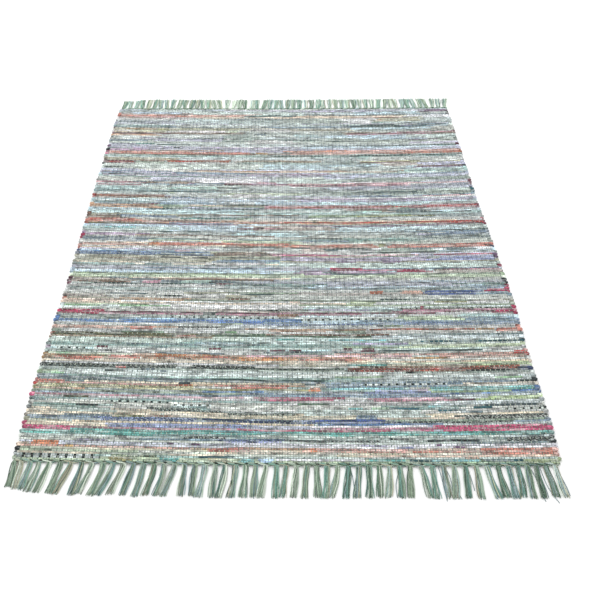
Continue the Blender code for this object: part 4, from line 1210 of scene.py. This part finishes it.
@dataclass
class Strand:
    """A straight strand, modelled once, of which every turn and yarn is a copy laid along its own line."""

    sides: int
    segments: int
    uv_name: str
    model: bpy.types.Object | None = None

    def make(self) -> None:
        """Models it: a filled circle, extruded segment by segment."""
        deselect()
        bpy.ops.mesh.primitive_circle_add(vertices=self.sides, radius=1, fill_type="NGON")
        self.model = bpy.context.active_object
        bpy.ops.object.mode_set(mode="EDIT")
        bpy.ops.mesh.select_mode(type="FACE")
        bpy.ops.mesh.select_all(action="SELECT")
        for _ in range(self.segments):
            bpy.ops.mesh.extrude_region_move(TRANSFORM_OT_translate={"value": (0, 0, 1)})
        bpy.ops.mesh.select_all(action="SELECT")
        bpy.ops.mesh.normals_make_consistent(inside=False)
        bpy.ops.object.mode_set(mode="OBJECT")
        mesh = self.model.data
        places = corners(self.model)
        turn = np.arctan2(places[:, 1], places[:, 0]) / (2 * np.pi)
        turn = np.rint(turn * self.sides).astype(int) % self.sides
        layer = mesh.uv_layers.active or mesh.uv_layers.new()
        layer.name = self.uv_name
        for face in mesh.polygons:
            turns = [int(turn[v]) for v in face.vertices]
            wraps = max(turns) - min(turns) > 1 and len(turns) == 4
            for corner, vertex, step in zip(face.loop_indices, face.vertices, turns):
                step += self.sides if wraps and step == 0 else 0
                layer.data[corner].uv = (step / self.sides, float(places[vertex, 2]) / self.segments)

    def lay(self, line: Points, radii: Points, flat: float = 1.0) -> bpy.types.Object:
        """A copy of the strand, laid along a line.

        Args:
            line: one point for each ring of the strand.
            radii: the strand's radius at each ring.
            flat: its thickness as a share of its width.

        Returns:
            The copy.
        """
        straight = corners(self.model)
        ring = np.rint(straight[:, 2]).astype(int)
        ahead = np.gradient(line, axis=0)
        ahead /= np.linalg.norm(ahead, axis=1, keepdims=True)
        side = np.cross(ahead, (0.0, 0.0, 1.0))
        side /= np.linalg.norm(side, axis=1, keepdims=True)
        up = np.cross(side, ahead)
        out = side[ring] * straight[:, :1] + up[ring] * straight[:, 1:2] * flat
        mesh = self.model.data.copy()
        write(mesh.vertices, "co", line[ring] + out * radii[ring, None])
        made = bpy.data.objects.new(self.model.name, mesh)
        bpy.context.scene.collection.objects.link(made)
        return made

    def colour(self, made: bpy.types.Object, name: str, colour: tuple[float, ...]) -> None:
        """Gives a copy one colour all over."""
        paint(made, name, np.tile(np.array(colour, dtype=np.float32), (len(made.data.loops), 1)))

    def clear(self) -> None:
        """Removes the straight strand."""
        bpy.data.objects.remove(self.model)
        self.model = None


@dataclass
class Selvedge:
    """The turns of the weft along one side: rag bent back round the outermost warp end, every two picks."""

    name: str
    side: int
    plan: Plan
    weft: Weft
    reach: float = 0.0095  # how far inward a turn begins and ends
    inset: float = 0.6  # from the edge to the outermost part of its line, in radii
    radius: float = 0.0034
    flat: float = 0.85
    bulge: float = 0.1  # how much thicker it is in the middle, as a share
    lift: float = 0.0029  # height of its line, which arches a little
    arch: float = 0.0004
    stations: int = 9
    spread: float = 0.0019  # how far the turns stray inward, in height and in thickness
    lift_spread: float = 0.0002
    radius_spread: float = 0.22
    step: float = 0.03  # between the places of two picks on the rag, and how far one turn reaches there
    cover: tuple[float, float] = (0.02, 1.0)
    seed: int = 31

    def build(self, material: bpy.types.Material) -> bpy.types.Object:
        """Models and dresses the turns.

        Args:
            material: the finish of turned rag.

        Returns:
            The piece.
        """
        rng = random.Random(self.seed)
        strand = Strand(6, self.stations - 1, "weave")
        strand.make()
        turns = []
        first = 0 if self.side < 0 else 1
        for pick in range(first, self.plan.picks - 1, 2):
            turn = np.linspace(-math.pi / 2, math.pi / 2, self.stations)
            inward = self.reach * (1 - np.cos(turn)) + rng.uniform(-1, 1) * self.spread
            across = self.side * (1 - (inward + self.radius * self.inset) / self.plan.half)
            along = pick + 1 + 0.5 * np.sin(turn)
            x, y = self.plan.place(across, along)
            z = self.lift + self.arch * np.cos(turn) + rng.uniform(-1, 1) * self.lift_spread
            thicker = self.bulge * np.cos(turn) + rng.uniform(-self.radius_spread, self.radius_spread)
            radii = self.radius * (1 + thicker)
            made = strand.lay(np.stack([x, y, np.maximum(z, radii * self.flat)], 1), radii, self.flat)
            shown = rng.choice((pick, pick + 1))
            ground, figure = self.weft.shades(np.array([shown]), np.array([self.side * 0.999]))
            for side, low, picks, cloth in TURNS:
                if side == self.side and low <= shown < low + picks:
                    ground[0], figure[0] = self.weft.plain(cloth)
            strand.colour(made, "ground", tuple(ground[0]))
            strand.colour(made, "figure", tuple(figure[0]))
            layer = made.data.uv_layers[0]
            places = read(layer.data, "uv", 2, np.float32)[:, ::-1]
            write(layer.data, "uv", places * self.cover + (self.step * pick, pick))
            turns.append(made)
        strand.clear()
        return dress(join(turns, self.name), material, "rag_cloth")


class Yarn(Enum):
    """The colours of the warp yarns."""

    SAGE = "879a89"
    TEAL = "62877b"
    PALE = "b4beb1"
    PINE = "506a58"
    DUSK = "7e9496"
    OCHRE = "9a9a86"
    MOSS = "7a8b78"


# How a yarn sets out from the cloth and round its neighbours. Each row is a point: across in pitches of the
# tassels, in nests and in places in the tassel, out from the cloth in metres and in nests, and its height.
OVER_PATH = (
    (-0.95, 0.4, 0.0, -0.0020, 0.00, 0.0036),
    (-0.72, 0.0, 0.0, 0.0001, 0.50, 0.0056),
    (-0.45, 0.0, 0.0, 0.0007, 0.95, 0.0064),
    (-0.20, 0.0, 0.3, 0.0024, 0.85, 0.0067),
    (-0.05, 0.0, 0.6, 0.0051, 0.50, 0.0060),
)
UNDER_PATH = (
    (0.95, -0.4, 0.0, -0.0020, 0.00, 0.0026),
    (0.72, 0.0, 0.0, 0.0003, 0.50, 0.0034),
    (0.45, 0.0, 0.0, 0.0012, 0.95, 0.0036),
    (0.20, 0.0, 0.3, 0.0034, 0.70, 0.0030),
    (0.05, 0.0, 0.6, 0.0058, 0.40, 0.0022),
)


@dataclass
class Fringe:
    """One end of the rug: groups of warp ends that pass over their neighbours and hang on as tassels."""

    name: str
    node: str
    pick: int
    away: int
    reach: float
    roots: Table
    groups: Table
    seed: int
    plan: Plan
    tassels: int = 54
    clump_pitch: float = 0.0140
    corner_shorter: float = 0.016
    corner_reach: float = 0.09
    tip_spread: float = 0.002
    sway: float = 0.0012  # how far a tassel bends aside, at most
    ripple: float = 0.0012  # how far a single yarn waves aside
    braid_depth: float = 0.0078
    over: int = 7  # yarns of a tassel that come over the braid
    under: int = 5  # yarns that come under it
    over_nest: float = 0.0009  # from the bend of one yarn round the braid to that of the next
    under_nest: float = 0.0010
    radius: float = 0.00108
    spacing: float = 0.92  # of yarns in a tassel, in their widths
    upper: float = 0.00185  # how much higher the upper yarns of a tassel lie
    fall: float = 0.0022  # and how much higher still where they leave the braid
    cut: float = 0.7  # radius of a cut end, as a share
    thin: float = 0.7  # radius of a stray end
    colour_shares: tuple[float, ...] = (6, 4, 4, 2, 3, 1, 4)  # how often each colour of yarn comes
    tones: int = 4  # colours in a tassel
    matching: float = 0.8  # share of its yarns that keep to them
    # how much lighter or darker a yarn is: its own tone, and painted light and shade among the yarns of a
    # tassel
    tone_and_shade_range: tuple[float, float] = (0.7, 1.8)
    radius_range: tuple[float, float] = (0.9, 1.1)
    aside_spread: float = 0.15  # how far a yarn lies from its place, in yarns
    end_spread: float = 0.003  # how much longer or shorter it is
    phases: float = 6.3  # range of the starts of its ripple
    stations: int = 13
    last_wider: float = 1.0  # how much more the tassels of this end fan out, and how much paler they are
    paler: float = 1.0
    wisps: Table = ()
    ends: tuple[float, float] = (-0.5985, 0.5935)  # the x of the braid's ends

    def root_places(self) -> list[float]:
        """The x of each tassel's root."""
        numbers, places = zip(*self.roots)
        return [float(np.interp(k + 1, numbers, places)) + self.plan.shift[0] for k in range(self.tassels)]

    def tip_places(self, roots: list[float]) -> list[float]:
        """The x of each tassel's tip: the tassels of a group lean together and touch."""
        starts = [0, *accumulate(int(count) for count, _ in self.groups)]
        tips = []
        for (count, lean), start in zip(self.groups, starts):
            count = int(count)
            middle = sum(roots[start : start + count]) / count + lean / 1000
            tips += [middle + (k - (count - 1) / 2) * self.clump_pitch for k in range(count)]
        return tips

    def yarn_line(
        self, root: float, tip: float, length: float, sway: float, place: tuple[float, ...]
    ) -> Points:
        """The line of one yarn, from under the cloth's edge to its cut end.

        Args:
            root: the x of the tassel's root.
            tip: the x of its tip.
            length: from the cloth's edge to the tip.
            sway: how far the tassel bends aside.
            place: how many yarns aside it lies, 1 for the upper layer or 0, the start of its ripple, and how
                much longer it is.

        Returns:
            The line's points.
        """
        beside, layer, phase, longer = place
        pitch = self.plan.width / self.tassels
        width = 2 * self.radius * self.spacing
        inner, outer = self.ends
        nest = (beside + 3) * self.over_nest if layer else (2 - beside) * self.under_nest
        start = [
            (root + a * pitch + nest * b + beside * width * c, out + nest * d, high)
            for a, b, c, out, d, high in (OVER_PATH if layer else UNDER_PATH)
        ]
        rest = self.stations - len(start)
        shares = np.linspace(0.06, 1.0, rest)
        span = length - self.braid_depth + longer
        fan = 0.84 + 0.5 * shares**1.4
        lift = self.radius + (self.upper * (1 - 0.25 * shares) + self.fall * np.exp(-shares * 14)) * layer
        x = root + (tip - root) * shares**1.2 + sway * np.sin(np.pi * shares)
        x = x + beside * width * fan * self.last_wider + self.ripple * np.sin(phase + 6 * shares)
        out = self.braid_depth + span * shares
        line = np.array([*start, *zip(x, out, lift)])
        held = np.clip(line[:, 0], inner, outer)
        line[: len(start), 0] = held[: len(start)]
        line[:, 1] = [self.plan.end_line(x, self.pick) + self.away * y for x, y in zip(held, line[:, 1])]
        return line

    def build(self, material: bpy.types.Material) -> bpy.types.Object:
        """Models and dresses the braid and its tassels.

        Args:
            material: the yarn's finish.

        Returns:
            The piece.
        """
        lengths = random.Random(self.seed)
        rng = random.Random(self.seed + 100)
        strand = Strand(5, self.stations - 1, "strand")
        strand.make()
        yarns = []
        roots = self.root_places()
        for root, tip in zip(roots, self.tip_places(roots)):
            corner = max(0.0, 1 - (root - roots[0]) / self.corner_reach)
            length = self.reach - self.corner_shorter * corner + lengths.uniform(-1, 1) * self.tip_spread
            sway = lengths.uniform(-1, 1) * self.sway
            spots = [(k - (self.over - 1) / 2, 1) for k in range(self.over)]
            spots += [(k - (self.under - 1) / 2, 0) for k in range(self.under)]
            tones = rng.choices(list(Yarn), self.colour_shares, k=self.tones)
            for beside, layer in spots:
                aside = beside + rng.uniform(-self.aside_spread, self.aside_spread)
                phase = rng.uniform(0, self.phases)
                longer = rng.uniform(-self.end_spread, self.end_spread)
                line = self.yarn_line(root, tip, length, sway, (aside, layer, phase, longer))
                radii = np.full(self.stations, self.radius * rng.uniform(*self.radius_range))
                radii[-1] *= self.cut
                made = strand.lay(line, radii)
                tone = rng.choice(tones) if rng.random() < self.matching else rng.choice(list(Yarn))
                # The yarn's own tone, and painted light and shade among the yarns of its tassel.
                shade = rng.uniform(*self.tone_and_shade_range) * self.paler
                strand.colour(made, "yarn", (*(part * shade for part in linear(tone.value)), 1.0))
                yarns.append(made)
        for root, tip, length, sway in self.wisps:
            root += self.plan.shift[0]
            tip += self.plan.shift[0]
            line = self.yarn_line(root, tip, length, sway, (0, 0, 1.0, 0.0))
            made = strand.lay(line, np.full(self.stations, self.radius * self.thin))
            strand.colour(made, "yarn", (*linear(Yarn.DUSK.value), 1.0))
            yarns.append(made)
        strand.clear()
        return dress(join(yarns, self.name), material, "warp_yarn", self.node)


# ------------------------------------------------------------------------------------------------------------
# The studio
# ------------------------------------------------------------------------------------------------------------


@dataclass(frozen=True)
class Studio:
    """A pale floor, soft light all round with a large lamp overhead, and the camera."""

    eye: tuple[float, float, float] = (0.008, -2.449, 1.560)  # from the middle of the cloth
    pitch: float = 35.85
    yaw: float = 0.8
    lens: float = 59.27
    sky: float = 0.95
    key_power: float = 62.0
    key_size: float = 3.0
    key_place: tuple[float, float, float] = (-1.2, 1.6, 3.2)
    floor_size: float = 30
    floor_tone: float = 0.96

    def floor(self) -> None:
        """A plain pale floor."""
        deselect()
        bpy.ops.mesh.primitive_plane_add(size=self.floor_size)
        floor = bpy.context.active_object
        floor.name = "floor"
        material = bpy.data.materials.new("floor")
        material.use_nodes = True
        shader = material.node_tree.nodes["Principled BSDF"]
        shader.inputs["Base Color"].default_value = (self.floor_tone, self.floor_tone, self.floor_tone, 1)
        shader.inputs["Roughness"].default_value = 1.0
        shader.inputs["Specular IOR Level"].default_value = 0.0
        floor.data.materials.append(material)

    def light(self) -> None:
        """Even light from all round, and a soft lamp overhead."""
        world = bpy.data.worlds.new("studio")
        world.use_nodes = True
        world.node_tree.nodes["Background"].inputs["Color"].default_value = (1, 1, 1, 1)
        world.node_tree.nodes["Background"].inputs["Strength"].default_value = self.sky
        bpy.context.scene.world = world
        bpy.ops.object.light_add(type="AREA", location=self.key_place)
        key = bpy.context.active_object
        key.name = "key_light"
        key.data.energy = self.key_power
        key.data.size = self.key_size
        key.rotation_euler = (-Vector(self.key_place)).to_track_quat("-Z", "Y").to_euler()
        bpy.context.scene.view_settings.view_transform = "Standard"

    def camera(self, plan: Plan) -> None:
        """The camera, where the photographer stood."""
        data = bpy.data.cameras.new("camera")
        data.lens = self.lens
        data.clip_start = 0.05
        camera = bpy.data.objects.new("camera", data)
        camera.location = (self.eye[0] + plan.shift[0], self.eye[1] + plan.shift[1], self.eye[2])
        camera.rotation_euler = (math.radians(90 - self.pitch), 0, math.radians(-self.yaw))
        bpy.context.scene.collection.objects.link(camera)
        bpy.context.scene.camera = camera


# Where the tassels are rooted, and how they lie in groups that touch at their tips.
FRONT_ROOTS = (
    # tassel, x
    (1, -0.5965), (2, -0.5820), (4, -0.5420), (10, -0.4005), (20, -0.1775),
    (30, 0.0440), (40, 0.2700), (49, 0.4850), (51, 0.5250), (54, 0.5865),
)
FRONT_GROUPS = (
    # how many tassels, lean of their tips to the right in millimetres
    (4, -3), (1, -15), (2, -16), (2, -14), (2, -20), (1, -19), (1, -15), (1, -11),
    (1, -12), (2, -15), (1, -3), (2, -6), (2, -8), (1, -8), (1, -5), (2, -8),
    (2, -6), (1, -9), (1, -8), (3, -9), (1, -10), (1, -9), (1, -4), (1, -4),
    (1, -10), (1, -3), (1, -8), (2, 5), (2, -2), (1, -5), (1, -1), (1, 11),
    (1, 5), (2, -1), (1, -3), (1, -1), (1, 5), (1, 5),
)
FRONT_WISPS = (
    # thin ends that stray from their tassels: x at the braid, x at the tip, length and sway in metres
    (-0.2900, -0.2950, 0.075, 0.008), (0.1370, 0.1450, 0.099, 0.004), (0.2440, 0.2330, 0.096, -0.003),
    (0.3300, 0.3370, 0.106, 0.003), (0.3440, 0.3520, 0.090, 0.007), (0.3620, 0.3690, 0.100, -0.004),
    (0.3900, 0.3990, 0.076, 0.005), (0.5300, 0.5440, 0.108, 0.004), (0.5520, 0.5720, 0.113, -0.003),
    (-0.0640, -0.0700, 0.101, -0.004),
)
BACK_ROOTS = ((1, -0.5930), (54, 0.5880))
BACK_GROUPS = (
    # how many tassels, lean of their tips to the right in millimetres
    (2, 1), (2, 0), (1, 2), (2, 0), (1, -6), (1, 2), (1, 6), (1, 3), (1, 5), (1, 0),
    (1, -5), (2, -9), (1, -12), (1, 1), (1, 7), (1, 5), (1, -5), (2, 1), (1, 9),
    (1, 5), (2, 0), (1, 3), (1, 2), (1, -1), (1, 1), (1, 0), (2, 1), (1, 2), (1, 0),
    (1, 1), (1, 1), (1, 0), (1, -2), (1, 0), (1, -1), (1, 6), (2, 5), (1, -7),
    (2, -1), (1, -8), (2, -6), (1, 5), (1, 4), (1, 11),
)


def main() -> None:
    """Builds the rug, its floor, its light and its camera."""
    logging.basicConfig(level=logging.INFO, format="%(message)s")
    plan = Plan()
    studio = Studio()
    studio.camera(plan)
    studio.floor()
    studio.light()
    weft = Weft(plan)
    weft.weave()

    woven = WeaveFinish().make()
    for name, first, last in (("cloth_near", 0, 86), ("cloth_middle", 86, 171), ("cloth_far", 171, 256)):
        cloth = ClothPanel(name, first, last, plan, weft).build(woven)
        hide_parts("woven_body")

    turned = TurnFinish().make()
    for name, side, seed in (("turns_left", -1, 31), ("turns_right", 1, 32)):
        Selvedge(name, side, plan, weft, seed=seed).build(turned)

    yarn = YarnFinish().make()
    front = Fringe(
        "tassels_front", "fringe_front", 0, -1, 0.097, FRONT_ROOTS, FRONT_GROUPS, 21, plan, wisps=FRONT_WISPS
    )
    back = Fringe(
        "tassels_back", "fringe_back", plan.picks, 1, 0.090, BACK_ROOTS, BACK_GROUPS, 22, plan,
        last_wider=1.22, paler=1.3,
    )
    for fringe in (front, back):
        fringe.build(yarn)


if __name__ == "__main__":
    main()
